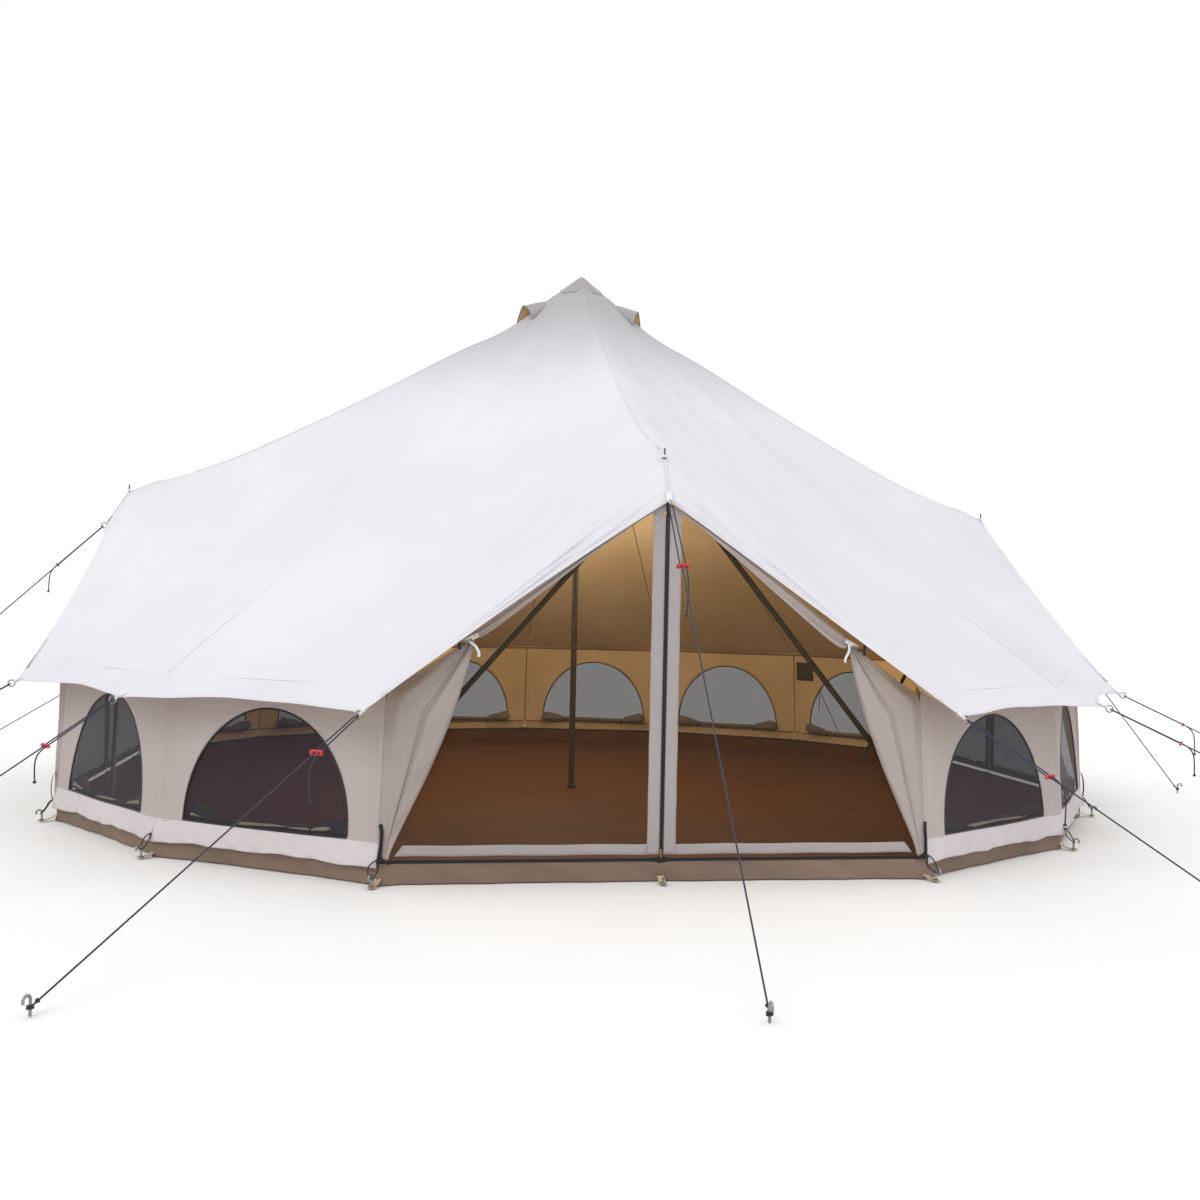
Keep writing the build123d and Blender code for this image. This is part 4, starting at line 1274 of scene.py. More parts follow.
# ---------------------------------------------------------------------------
# Walls with arched windows
# ---------------------------------------------------------------------------
def wall_axes(a, b):
    foot = (pt(a, R_BASE, 0.097) + pt(b, R_BASE, 0.097)) / 2
    head = (pt(a, SEAM_R, 0.790) + pt(b, SEAM_R, 0.790)) / 2
    upv = unit(head - foot)
    along = unit(pt(b, R_BASE) - pt(a, R_BASE))
    out = np.cross(along, upv)
    if out @ foot < 0:
        out = -out
    return foot - upv * (0.097 / upv[2]), along, upv / upv[2], out


def half_width(z):
    r = R_BASE + (SEAM_R - R_BASE) * (z - 0.097) / (0.790 - 0.097)
    return r * math.sin(math.radians(STEP / 2))


def arch(n, grow=0.0):
    """The window's outline, anticlockwise from its lower left corner, x along the wall, y height."""
    hb, zb, zm, zt = 0.430 + grow, 0.175 - grow, 0.190, 0.672 + grow
    P = [(-hb, zb), (-hb * 0.5, zb - 0.003), (0, zb - 0.004), (hb * 0.5, zb - 0.003), (hb, zb)]
    for k in range(33):
        t = math.pi * k / 32
        P.append(((hb - 0.002) * math.cos(t), zm + (zt - zm) * math.sin(t)))
    P.append((-hb, zb))
    return resample(np.array(P), n + 1)[:-1]


def ray_hit(poly, c, ang_):
    """Where a ray from c meets a closed outline."""
    d = np.array([math.cos(ang_), math.sin(ang_)])
    best = None
    n = len(poly)
    for i in range(n):
        p, q = poly[i], poly[(i + 1) % n]
        e = q - p
        den = d[0] * e[1] - d[1] * e[0]
        if abs(den) < 1e-12:
            continue
        w = p - c
        t = (w[0] * e[1] - w[1] * e[0]) / den
        s_ = (w[0] * d[1] - w[1] * d[0]) / den
        if t > 1e-9 and -1e-9 <= s_ <= 1 + 1e-9 and (best is None or t < best):
            best = t
    return c + d * best


wall_c = np.array([0.0, 0.400])
Z_LO, Z_HI = 0.072, 0.7925
outline = arch(160)
rect = np.array([(-half_width(Z_LO), Z_LO), (half_width(Z_LO), Z_LO), (half_width(Z_HI), Z_HI), (-half_width(Z_HI), Z_HI)])
angs = set()
for q in rect:
    angs.add(round(math.atan2(*(q - wall_c)[::-1]), 9))
for q in ((-0.430, 0.175), (0.430, 0.175)):
    angs.add(round(math.atan2(*(np.array(q) - wall_c)[::-1]), 9))
base_angs = sorted(angs)
full = []
for i, a0 in enumerate(base_angs):
    a1 = base_angs[(i + 1) % len(base_angs)]
    if a1 <= a0:
        a1 += 2 * math.pi
    n = max(2, int(round((a1 - a0) / (2 * math.pi) * 280)))
    full += [a0 + (a1 - a0) * k / n for k in range(n)]
inner_pts = np.array([ray_hit(outline, wall_c, t) for t in full])
outer_pts = np.array([ray_hit(rect, wall_c, t) for t in full])
RINGS = 15
fr = np.linspace(0, 1, RINGS) ** 0.9
wall_xy = np.concatenate([inner_pts + (outer_pts - inner_pts) * f for f in fr])
nA = len(full)
wall_faces = grid_faces(RINGS, nA, wrap=True)


def wall_shape(x, z, seed):
    """How far the wall stands out of its own plane."""
    hw = R_BASE * math.sin(math.radians(STEP / 2))
    edge = np.clip(1 - (np.abs(x) / hw), 0, 1)
    free = smooth(edge / 0.12)
    topf = smooth((0.79 - z) / 0.12)
    m = -0.007 * (1 - (x / hw) ** 2) * np.sin(np.pi * np.clip((z - 0.09) / 0.7, 0, 1))
    # upright folds beside the corners, where the cloth is gathered by its pegs
    for side in (-1, 1):
        dx = hw - side * x
        m = m + 0.0052 * np.sin(dx * 95 + seed) * np.exp(-(dx / 0.085) ** 2) * topf * smooth((z - 0.10) / 0.15)
    m = m + 0.0028 * np.sin(x * 11 + seed * 1.7 + z * 4) * free * topf
    # the skirt: flared, slack and gently wavy at its hem
    k = smooth((0.178 - z) / 0.10)
    m = m + k * free * (0.0052 * np.sin(x * 17 + seed * 2.1) + 0.0030 * np.sin(x * 39 + seed)) + k * 0.016
    # slanting wrinkles in the skirt
    soft = smooth((0.170 - z) / 0.05) * free
    m = m + 0.0022 * np.sin((x + 1.9 * z) * 46 + seed) * soft + 0.0016 * np.sin((x - 1.2 * z) * 63 + 2 * seed) * soft
    return m


walls, covers, panes, bindings, straps_parts = [], [], [], [], []
pane_ring = arch(128, -0.001)
for idx, (a, b) in enumerate(PANELS):
    org, along, upv, out = wall_axes(a, b)
    seed = idx * 1.37 + 0.4
    x, z = wall_xy[:, 0].copy(), wall_xy[:, 1].copy()
    hem = smooth((0.10 - z) / 0.028)
    zz = z + hem * (0.0034 * np.sin(x * 13 + seed) + 0.0018 * np.sin(x * 29 + 2 * seed)) + hem * 0.008 * (1 - (np.abs(x) / 0.585) ** 4) - 0.004 * hem
    m = wall_shape(x, z, seed)
    at_edge = np.abs(np.abs(x) - np.array([half_width(q) for q in z])) < 1e-6
    m[at_edge] = 0.014 * smooth((0.178 - z[at_edge]) / 0.10)
    top = np.abs(z - Z_HI) < 1e-6
    m[top] = -0.006 * (1 - (x[top] / 0.5755) ** 2)
    P3 = org + np.outer(x, along) + np.outer(zz, upv) + np.outer(m, out)
    walls.append((P3, [list(f) for f in wall_faces], np.stack([x + idx * 1.17, z], 1)))
    # mesh pane
    c = np.array([0.0, 0.40])
    rows_ = [c + (pane_ring - c) * f for f in (0.12, 0.3, 0.5, 0.68, 0.84, 0.94, 1.0)]
    q = np.concatenate([[c]] + rows_)
    sag = -0.002 - 0.006 * np.clip(1 - ((q[:, 0] / 0.43) ** 2), 0, 1) * np.clip(1 - ((q[:, 1] - 0.42) / 0.26) ** 2, 0, 1)
    sag = sag + 0.0014 * np.sin(q[:, 0] * 17 + seed) * np.clip((0.67 - q[:, 1]) / 0.2, 0, 1)
    sag = sag - 0.004 * (1 - np.clip(q[:, 0] / 0.5755, -1, 1) ** 2)
    Pp = org + np.outer(q[:, 0], along) + np.outer(q[:, 1], upv) + np.outer(sag, out)
    n = len(pane_ring)
    Fp = [[0, 1 + k, 1 + (k + 1) % n] for k in range(n)] + grid_faces(7, n, base=1, wrap=True, flip=True)
    panes.append((Pp, Fp, q))
    # black binding round the opening
    line = np.vstack([outline, outline[:2]])
    ms = wall_shape(line[:, 0], line[:, 1], seed)
    L3 = org + np.outer(line[:, 0], along) + np.outer(line[:, 1], upv) + np.outer(ms, out)
    bindings.append(band(L3, out, 0.0090, 0.0060, lift=-0.0030))
    # rolled cover, thin where its two toggles hold it and thick at its ends
    xs = np.linspace(-0.425, 0.425, 70)
    ends = smooth((np.abs(xs) - 0.20) / 0.22)
    rad = 0.0135 + 0.0225 * ends + 0.0020 * np.sin(xs * 60 + seed) * ends
    rad = rad * (1 - 0.35 * np.exp(-((np.abs(xs) - 0.245) / 0.012) ** 2))
    rad[0] *= 0.55
    rad[1] *= 0.85
    rad[-1] *= 0.55
    rad[-2] *= 0.85
    zc = 0.176 + rad * 0.85 + 0.004 * np.sin(xs * 8 + seed)
    R3 = org + np.outer(xs, along) + np.outer(zc, upv) - np.outer(rad + 0.006, out)
    T, S, NN = frames_along(R3)
    Vr, Ur, sides_ = [], [], 18
    for i_ in range(len(xs)):
        for k_ in range(sides_):
            t_ = 2 * math.pi * k_ / sides_
            wrap_ = 1 + 0.10 * math.sin(3 * t_ + xs[i_] * 9 + seed) + 0.06 * math.sin(5 * t_ - xs[i_] * 21) + (0.10 if k_ == 4 else 0.0)
            Vr.append(R3[i_] + rad[i_] * wrap_ * (math.cos(t_) * S[i_] + math.sin(t_) * NN[i_]))
            Ur.append((xs[i_], rad[i_] * t_))
    Fr = grid_faces(len(xs), sides_, wrap=True)
    Fr.append(list(range(sides_)))
    Fr.append([(len(xs) - 1) * sides_ + k_ for k_ in reversed(range(sides_))])
    covers.append((np.array(Vr), Fr, np.array(Ur)))
    # two cloth ties with toggles, and a black end tab
    for sx in (-0.245, 0.245):
        i_ = int(np.argmin(np.abs(xs - sx)))
        t_ = np.linspace(0, 2 * math.pi, 25)
        ring = np.array([R3[i_] + (rad[i_] + 0.0022) * (math.cos(q_) * out + math.sin(q_) * unit(upv)) for q_ in t_])
        nr = np.array([math.cos(q_) * out + math.sin(q_) * unit(upv) for q_ in t_])
        straps_parts.append(band(ring, nr, 0.010, 0.0012))
        tg = R3[i_] - out * (rad[i_] + 0.008) - unit(upv) * 0.022
        straps_parts.append(tube(resample([tg - along * 0.014, tg + along * 0.014], 6), [0.003, 0.0048, 0.005, 0.005, 0.0048, 0.003], 8))
    e_ = R3[-3] + out * (rad[-3] * 0.4) + unit(upv) * (rad[-3] * 0.6)
    t_ = np.linspace(0.2, 2 * math.pi - 0.2, 16)
    ring = np.array([e_ + 0.017 * (math.cos(q_) * along * 0.55 + math.sin(q_) * unit(upv)) - out * 0.004 for q_ in t_])
    straps_parts.append(tube(ring, 0.0052, 7))

V, F, U = joined(walls)
V, F, U, _ = weld(V, F, U, tol=2e-3)
Nw = normals_of(V, F)
mid = np.array([V[f].mean(0) for f in F])
if (Nw * (V * [1, 1, 0])).sum() < 0:
    F = [f[::-1] for f in F]
    Nw = -Nw
fm = [(0, 2)] * len(F)
Nw, w_len = soften(V, F, Nw, 2)
W, F2, mi, UV = thicken(V, F, np.clip(w_len * 0.15, 0.0003, 0.0016), rim=0, uvs=U, normals=Nw, face_mats=fm)
wall = make("wall_cloth", W, F2, ["wall", "skirt", "inner"], mi, UV)
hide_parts("wall_panels")
ride(wall)
V, F, U = joined(panes)
pane = make("window_mesh", V, F, ["mesh_win"], uvs=U)
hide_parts("window_screens")
ride(pane)
V, F, U = joined(bindings)
bind = make("window_binding", V, F, ["black"], uvs=U)
ride(bind)
V, F, U = joined(covers)
roll = make("rolled_window_covers", V, F, ["cover"], uvs=U)
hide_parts("window_cover_rolls")
ride(roll)
V, F, U = joined(straps_parts)
tie = make("window_cover_ties", V, F, ["black"], uvs=U)
ride(tie)


# ---------------------------------------------------------------------------
# Doors, made for the front and turned to the sides
# ---------------------------------------------------------------------------
TOPX, TOPZ, BOTX, BOTZ = 0.012, 1.525, 1.088, 0.115


def fold_x(z):
    """Half-width of the leaf at height z."""
    return TOPX + (BOTX - TOPX) * (TOPZ - z) / (TOPZ - BOTZ)


def door_place(P2, out, sgn, az):
    """Points (x, z) of the left half, out metres in front of the door plane, put in place."""
    P2 = np.asarray(P2, float)
    P = np.stack([P2[:, 0] * sgn, np.full(len(P2), -DOOR_Y) - out, P2[:, 1]], 1)
    return turn(P, az)


def hood_x(z):
    """Half-width of the door opening under the hood's fold line at height z."""
    pts_ = [(1.575, 0.0), (1.391, 0.29), (1.275, 0.43), (1.046, 0.72), (0.80, 1.09), (0.752, 1.132), (0.09, 1.134)]
    zs, xs_ = [p[0] for p in pts_][::-1], [p[1] for p in pts_][::-1]
    return np.interp(z, zs, xs_)


def area_of(V, F):
    """Area of a mesh of quads and triangles."""
    V = np.asarray(V, float)
    total = 0.0
    for n in (3, 4):
        f = np.array([x for x in F if len(x) == n], int)
        if len(f):
            if n == 3:
                w = np.cross(V[f[:, 1]] - V[f[:, 0]], V[f[:, 2]] - V[f[:, 0]])
            else:
                w = np.cross(V[f[:, 2]] - V[f[:, 0]], V[f[:, 3]] - V[f[:, 1]])
            total += float(np.linalg.norm(w, axis=1).sum()) / 2
    return total


door_bits = {}
for dname, az in DOORS.items():
    for tag, sgn in (("left", 1), ("right", -1)):
        body = f"{dname}_leaf_{tag}"
        node = f"mesh_leaf_{dname}_{tag[0]}"
        # x below is negative towards the door foot of the left half
        rows_z = np.concatenate([np.linspace(TOPZ - 0.004, 1.40, 10), np.linspace(1.36, BOTZ, 34)])
        ncx = 26
        P2, off = [], []
        for z in rows_z:
            w = fold_x(z)
            for k in range(ncx):
                x = -w + (w - 0.004) * k / (ncx - 1)
                P2.append((x, z))
                u = k / (ncx - 1)
                off.append(0.0035 * math.sin(x * 7 + z * 5 + (0 if tag == "left" else 2)) * math.sin(math.pi * u) * smooth((TOPZ - z) / 0.3) * smooth((z - BOTZ) / 0.12))
        P = door_place(P2, np.array(off), sgn, az)
        F = grid_faces(len(rows_z), ncx)
        pane_ = make(f"leaf_mesh_{dname}_{tag}", P, F, ["mesh_door" if dname == "front" else "mesh_side"], uvs=np.array(P2))
        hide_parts(node)
        ride(pane_, body)
        # canvas borders: along the centre zip and along the foot
        parts = []
        zs = np.concatenate([np.linspace(BOTZ + 0.001, 0.16, 4), np.linspace(0.19, TOPZ - 0.012, 60)])
        cols_ = np.linspace(0, 1, 7)
        P2, off = [], []
        for z in zs:
            x0 = -min(0.060, fold_x(z)) + 0.0006 * math.sin(z * 31)
            for c_ in cols_:
                P2.append((x0 + (-0.0062 - x0) * c_, z))
                off.append(0.0022 + 0.0012 * math.sin(z * 19 + c_ * 3) * math.sin(math.pi * c_) + 0.0016 * math.sin(math.pi * c_))
        P = door_place(P2, np.array(off), sgn, az)
        parts.append((P, grid_faces(len(zs), 7, flip=True), np.array(P2)))
        xs_ = np.linspace(0, 1, 44)
        P2, off = [], []
        for r_ in np.linspace(0, 1, 5):
            z = BOTZ + 0.0005 + r_ * (0.158 - BOTZ)
            x0 = -fold_x(z) + 0.002
            for u in xs_:
                x = x0 + (-0.055 - x0) * u
                P2.append((x, z + 0.0010 * math.sin(x * 17)))
                off.append(0.0016 + 0.0014 * math.sin(x * 23 + r_ * 4) * r_ + 0.0012 * math.sin(math.pi * r_))
        P = door_place(P2, np.array(off), sgn, az)
        parts.append((P, grid_faces(5, 44, flip=True), np.array(P2)))
        V, F, U = joined(parts)
        Nn = np.broadcast_to(turn(np.array([[0, -1.0, 0]]), az)[0], V.shape)
        W, F2, mi, UV = thicken(V, F, 0.0014, rim=0, outer=0, inner=1, uvs=U, normals=Nn)
        trim = make(f"leaf_border_{dname}_{tag}", W, F2, ["trim", "inner"], mi, UV)
        ride(trim, body)
        # half of the centre zip: tape and teeth
        zl = np.stack([np.full(60, -0.0041), np.linspace(BOTZ + 0.0005, TOPZ - 0.014, 60)], 1)
        L = door_place(zl, np.full(60, 0.0040), sgn, az)
        outv = turn(np.array([[0, -1.0, 0]]), az)[0]
        parts = [band(L, outv, 0.0078, 0.0022)]
        tooth_z = np.arange(BOTZ + 0.006, TOPZ - 0.02, 0.009)
        for i_, z in enumerate(tooth_z):
            cpt = door_place([(-0.0022, z + (0.0 if tag == "left" else 0.0045))], np.array([0.0058]), sgn, az)[0]
            ax = turn(np.array([[1.0, 0, 0]]), az)[0]
            v = []
            for dx in (-0.0018, 0.0018):
                for dy in (-0.0012, 0.0012):
                    for dzz in (-0.0020, 0.0020):
                        v.append(cpt + ax * dx + outv * dy + np.array([0, 0, dzz]))
            parts.append((np.array(v), [[0, 1, 3, 2], [4, 6, 7, 5], [0, 4, 5, 1], [2, 3, 7, 6], [0, 2, 6, 4], [1, 5, 7, 3]], np.zeros((8, 2))))
        V, F, U = joined(parts)
        zp = make(f"leaf_zip_{dname}_{tag}", V, F, ["zip"], uvs=U, shade=False)
        ride(zp, body)

        # fixed mesh beside the leaf
        zt = np.linspace(0, 1, 60)
        P2, g_off = [], []
        for t_ in zt:
            zf = TOPZ + (0.106 - TOPZ) * t_
            inner = np.array([-fold_x(zf), zf])
            zo = 1.560 + (0.106 - 1.560) * t_ ** 1.02
            low_ = float(np.clip((zo - 0.097) / 0.693, 0, 1))
            ox = min(hood_x(zo) - 0.006, 1.1460 - 0.0192 * low_)
            outer_ = np.array([-ox, zo])
            for c_ in np.linspace(0, 1, 9):
                P2.append(outer_ + (inner - outer_) * c_)
                g_off.append(-0.0008 - 0.0461 * low_ * float(smooth((abs(ox) - 0.86) / 0.26)) * (1 - c_))
        P = door_place(np.array(P2), np.array(g_off), sgn, az)
        door_bits.setdefault("gusset", []).append((P, grid_faces(60, 9), np.array(P2)))

        # tied-back canvas, from its tie down to the foot of the door; it is sewn to the wall's corner
        O = rounded([(-0.772, 1.012), (-0.885, 0.930), (-0.990, 0.858), (-1.075, 0.808), (-1.1275, 0.775), (-1.1310, 0.70), (-1.1370, 0.50), (-1.1440, 0.25), (-1.1480, 0.100)], 84)
        I = rounded([(-0.782, 1.000), (-0.790, 0.955), (-0.812, 0.86), (-0.860, 0.690), (-0.946, 0.47), (-1.043, 0.262), (-1.096, 0.150), (-1.110, 0.100)], 84)
        P2, off = [], []
        ns = 56
        seed = (0.0 if tag == "left" else 1.3) + az * 0.021
        for i_ in range(84):
            t_ = i_ / 83
            drop_ = float(np.clip((O[i_][1] - 0.097) / 0.693, 0, 1))
            o_edge = -0.0461 * drop_ * float(smooth((abs(O[i_][0]) - 0.86) / 0.26)) + 0.0012
            step_at = 0.56 + 0.10 * t_ + 0.025 * math.sin(t_ * 5 + seed)
            body_ = math.sin(math.pi * min(1.0, t_ * 0.90 + 0.12)) ** 0.6
            gather = math.exp(-(t_ / 0.13) ** 2)
            for k_ in range(ns):
                s_ = k_ / (ns - 1)
                P2.append(O[i_] + (I[i_] - O[i_]) * s_)
                o = 0.0075 + 0.0032 * math.sin(2 * math.pi * (1.7 * s_ + 0.35 * t_ + seed)) * (1 - 0.5 * t_)
                o += 0.0050 * math.sin(2 * math.pi * (4.3 * s_ + seed)) * (0.10 + gather)
                o += 0.0020 * math.sin(t_ * 17 + s_ * 5 + seed) * (1 - s_)
                # the edge is folded back over itself in a soft roll
                rise = float(smooth((s_ - step_at) / 0.055))
                o += 0.0205 * rise * body_ * (1 - 0.25 * float(smooth((s_ - 0.86) / 0.14)))
                o += 0.0024 * rise * math.sin(t_ * 31 + s_ * 11 + seed)
                o -= 0.0110 * math.exp(-((s_ - step_at + 0.020) / 0.026) ** 2) * body_
                o = max(o, 0.0025)
                o = 0.0030 + (o - 0.0030) * (0.30 + 0.70 * float(smooth((1 - s_) / 0.05)))
                mixk = float(smooth(s_ / 0.24))
                off.append(o_edge + (o - o_edge) * mixk)
        P = door_place(np.array(P2), np.array(off), sgn, az)
        Ff = grid_faces(84, ns)
        Nn = normals_of(P, Ff)
        outv = turn(np.array([[0, -1.0, 0]]), az)[0]
        if (Nn @ outv).sum() < 0:
            Ff = [f[::-1] for f in Ff]
            Nn = -Nn
        Nn, ln_ = soften(P, Ff, Nn, 1)
        W, F2, mi, UV = thicken(P, Ff, np.clip(ln_ * 0.2, 0.0003, 0.0014), rim=0, outer=0, inner=1, uvs=np.array(P2), normals=Nn)
        door_bits.setdefault("flap", []).append((W, F2, mi, UV))
        # and on up beside the opening to the apex
        O2 = rounded([(-0.020, 1.556), (-0.15, 1.478), (-0.31, 1.372), (-0.45, 1.266), (-0.62, 1.140), (-0.74, 1.050), (-0.790, 1.012)], 60)
        I2 = rounded([(-0.014, 1.548), (-0.14, 1.464), (-0.29, 1.345), (-0.42, 1.236), (-0.575, 1.108), (-0.700, 1.006), (-0.764, 0.968), (-0.788, 0.985)], 60)
        if tag == "left":
            I2 = O2 + (I2 - O2) * 0.62
        P2, off = [], []
        for i_ in range(60):
            t_ = i_ / 59
            for k_ in range(20):
                s_ = k_ / 19
                P2.append(O2[i_] + (I2[i_] - O2[i_]) * s_)
                off.append(0.0065 + 0.0034 * math.sin(2 * math.pi * (1.6 * s_ + 0.6 * t_ + seed)) * float(smooth(t_ / 0.2)) + 0.0046 * math.exp(-((s_ - 0.8) / 0.15) ** 2) * float(smooth(t_ / 0.3)))
        P = door_place(np.array(P2), np.array(off), sgn, az)
        Ff = grid_faces(60, 20)
        Nn = normals_of(P, Ff)
        if (Nn @ outv).sum() < 0:
            Ff = [f[::-1] for f in Ff]
            Nn = -Nn
        Nn, ln_ = soften(P, Ff, Nn, 1)
        W, F2, mi, UV = thicken(P, Ff, np.clip(ln_ * 0.2, 0.0003, 0.0014), rim=0, outer=0, inner=1, uvs=np.array(P2), normals=Nn)
        door_bits.setdefault("flap", []).append((W, F2, mi, UV))
        # the border's fixed top, above the end of the leaf's own border
        P2, off = [], []
        for i_ in range(16):
            z = 1.4620 + (1.572 - 1.4620) * i_ / 15
            x1 = -max(0.0045, fold_x(min(z, TOPZ)) + 0.0006) if z < TOPZ else -0.0045
            for k_ in range(6):
                x_ = -0.060 + (x1 + 0.060) * k_ / 5
                P2.append((x_, min(z, 1.566 - 0.640 * abs(x_))))
                off.append(0.0022 + 0.0010 * math.sin(z * 19 + k_))
        P = door_place(np.array(P2), np.array(off), sgn, az)
        Ff = grid_faces(16, 6)
        Nn = np.broadcast_to(outv, P.shape)
        if (normals_of(P, Ff) @ outv).sum() < 0:
            Ff = [f[::-1] for f in Ff]
        W, F2, mi, UV = thicken(P, Ff, 0.0012, rim=2, outer=2, inner=1, uvs=np.array(P2), normals=Nn)
        door_bits.setdefault("flap", []).append((W, F2, mi, UV))
        # black ribbon that ties the foot of the flap, hanging at the corner
        rb = door_place([(-1.1420, 0.245), (-1.1350, 0.215), (-1.1375, 0.170), (-1.1400, 0.130), (-1.1420, 0.104)], np.array([0.004, 0.020, 0.024, 0.022, 0.014]), sgn, az)
        rb = rounded(rb, 26)
        if tag == "left":
            top_zip = door_place([(0.0, 1.506), (0.0, 1.540), (0.0, 1.574)], np.array([0.0046, 0.0046, 0.0046]), sgn, az)
            door_bits.setdefault("ribbon", []).append(band(resample(top_zip, 8), outv, 0.015, 0.0022))
        door_bits.setdefault("ribbon", []).append(band(rb, outv, 0.015, 0.0012))
        rb2 = rounded(door_place([(-1.1420, 0.112), (-1.1300, 0.106), (-1.1150, 0.094), (-1.1000, 0.0905)], np.array([0.012, 0.018, 0.016, 0.010]), sgn, az), 20)
        door_bits["ribbon"].append(band(rb2, outv, 0.012, 0.0012))
        # strap round the gathered cloth, and its toggle
        c3 = door_place([(-0.798, 0.992)], np.array([0.010]), sgn, az)[0]
        ax = turn(np.array([[1.0 * sgn, 0, 0]]), az)[0]
        dn = unit(np.array([0, 0, -1.0]) + ax * 0.55)
        sd = np.cross(dn, outv)
        t_ = np.linspace(0, 2 * math.pi, 33)
        ring = np.array([c3 + 0.030 * math.cos(q_) * sd + 0.015 * math.sin(q_) * outv for q_ in t_])
        nr = np.array([unit(0.5 * math.cos(q_) * sd + math.sin(q_) * outv) for q_ in t_])
        door_bits.setdefault("strap", []).append(band(ring, nr, 0.020, 0.0015))
        tail = rounded([c3 + sd * 0.020 + outv * 0.014, c3 + outv * 0.020 + dn * 0.03, c3 + dn * 0.07 + outv * 0.016, c3 + dn * 0.085 - ax * 0.012 + outv * 0.012], 24)
        door_bits["strap"].append(band(tail, outv, 0.011, 0.0013))
        tc = door_place([(-0.846, 0.968)], np.array([0.034]), sgn, az)[0]
        tg = resample([tc - np.array([0, 0, 0.023]), tc + np.array([0, 0, 0.023])], 12)
        door_bits.setdefault("toggle", []).append(tube(tg, [0.0035, 0.0052, 0.0062, 0.0064, 0.0060, 0.0048, 0.0048, 0.0060, 0.0064, 0.0062, 0.0052, 0.0035], 12))
        loop = rounded([tc, tc - outv * 0.010 + ax * 0.012, c3 + outv * 0.016, c3 + outv * 0.016 + dn * 0.008, tc - outv * 0.008 + ax * 0.01 - np.array([0, 0, 0.008]), tc], 30)
        door_bits["toggle"].append(tube(loop, 0.0018, 6))

    # zip slider with its pull
    body = f"{dname}_zip"
    outv = turn(np.array([[0, -1.0, 0]]), az)[0]
    ax = turn(np.array([[1.0, 0, 0]]), az)[0]
    cpt = turn(np.array([[-0.0030, -DOOR_Y - 0.0082, 0.128]]), az)[0]
    V, F = [], []
    prof = [(-0.0095, 0.0032), (-0.0080, 0.0046), (-0.0030, 0.0052), (0.0030, 0.0062), (0.0078, 0.0068), (0.0095, 0.0050)]
    for h, w in prof:
        for sx, sy in ((-1, -0.4), (-1, 0.4), (-0.5, 1), (0.5, 1), (1, 0.4), (1, -0.4), (0.5, -1), (-0.5, -1)):
            V.append(cpt + ax * sx * w + outv * sy * 0.0032 + np.array([0, 0, h]))
    F = grid_faces(len(prof), 8, wrap=True) + [list(range(8)), [(len(prof) - 1) * 8 + k for k in reversed(range(8))]]
    bodyp = (np.array(V), F, np.zeros((len(V), 2)))
    pull = rounded([cpt + outv * 0.0040 + np.array([0, 0, 0.004]), cpt + outv * 0.0062 - np.array([0, 0, 0.006]), cpt + outv * 0.0060 - np.array([0, 0, 0.024])], 14)
    pl = band(pull, outv, [0.004] * 4 + [0.005] * 6 + [0.0065] * 4, 0.0014)
    V, F, U = joined([bodyp, pl])
    sl = make(f"zip_slider_{dname}_body", V, F, ["brass"], uvs=U)
    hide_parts(f"zip_slider_{dname}")
    ride(sl, body)


def layers(items):
    V, F, MI, U, base = [], [], [], [], 0
    for v, f, m_, u in items:
        V.append(v)
        U.append(u)
        MI += list(m_)
        F += [[x + base for x in g] for g in f]
        base += len(v)
    return np.vstack(V), F, MI, np.vstack(U)


V, F, MI, U = layers(door_bits["flap"])
flaps = make("tied_back_doors", V, F, ["flap", "inner", "trim"], MI, U)
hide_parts("door_tied_flaps")
ride(flaps)
V, F, U = joined(door_bits["gusset"])
guss = make("door_side_mesh", V, F, ["mesh_door"], uvs=U)
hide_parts("door_mesh_gussets")
ride(guss)
V, F, U = joined(door_bits["ribbon"])
rib = make("door_foot_ribbons", V, F, ["zip"], uvs=U)
ride(rib)
V, F, U = joined(door_bits["strap"])
strap = make("door_tie_straps", V, F, ["tape"], uvs=U)
ride(strap)
V, F, U = joined(door_bits["toggle"])
togs = make("door_toggles", V, F, ["toggle"], uvs=U)
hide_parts("door_flap_toggles")
ride(togs)

# ---------------------------------------------------------------------------
# Peak cap and roof vents
# ---------------------------------------------------------------------------
edge_N, _ = soften(cx, c_faces, normals_of(cx, c_faces), 2)


def canopy_z(x, y):
    """Height of the roof over a point of the plan."""
    az_ = (math.degrees(math.atan2(x, -y)) % 360) / 360 * NC
    r_ = math.hypot(x, y)
    j0_, f_ = int(az_) % NC, az_ - int(az_)
    out_ = []
    for j_ in (j0_, (j0_ + 1) % NC):
        col = cx[c_index[:N1 + 1, j_]]
        rr_ = np.hypot(col[:, 0], col[:, 1])
        out_.append(float(np.interp(r_, rr_, col[:, 2])))
    return out_[0] * (1 - f_) + out_[1] * f_


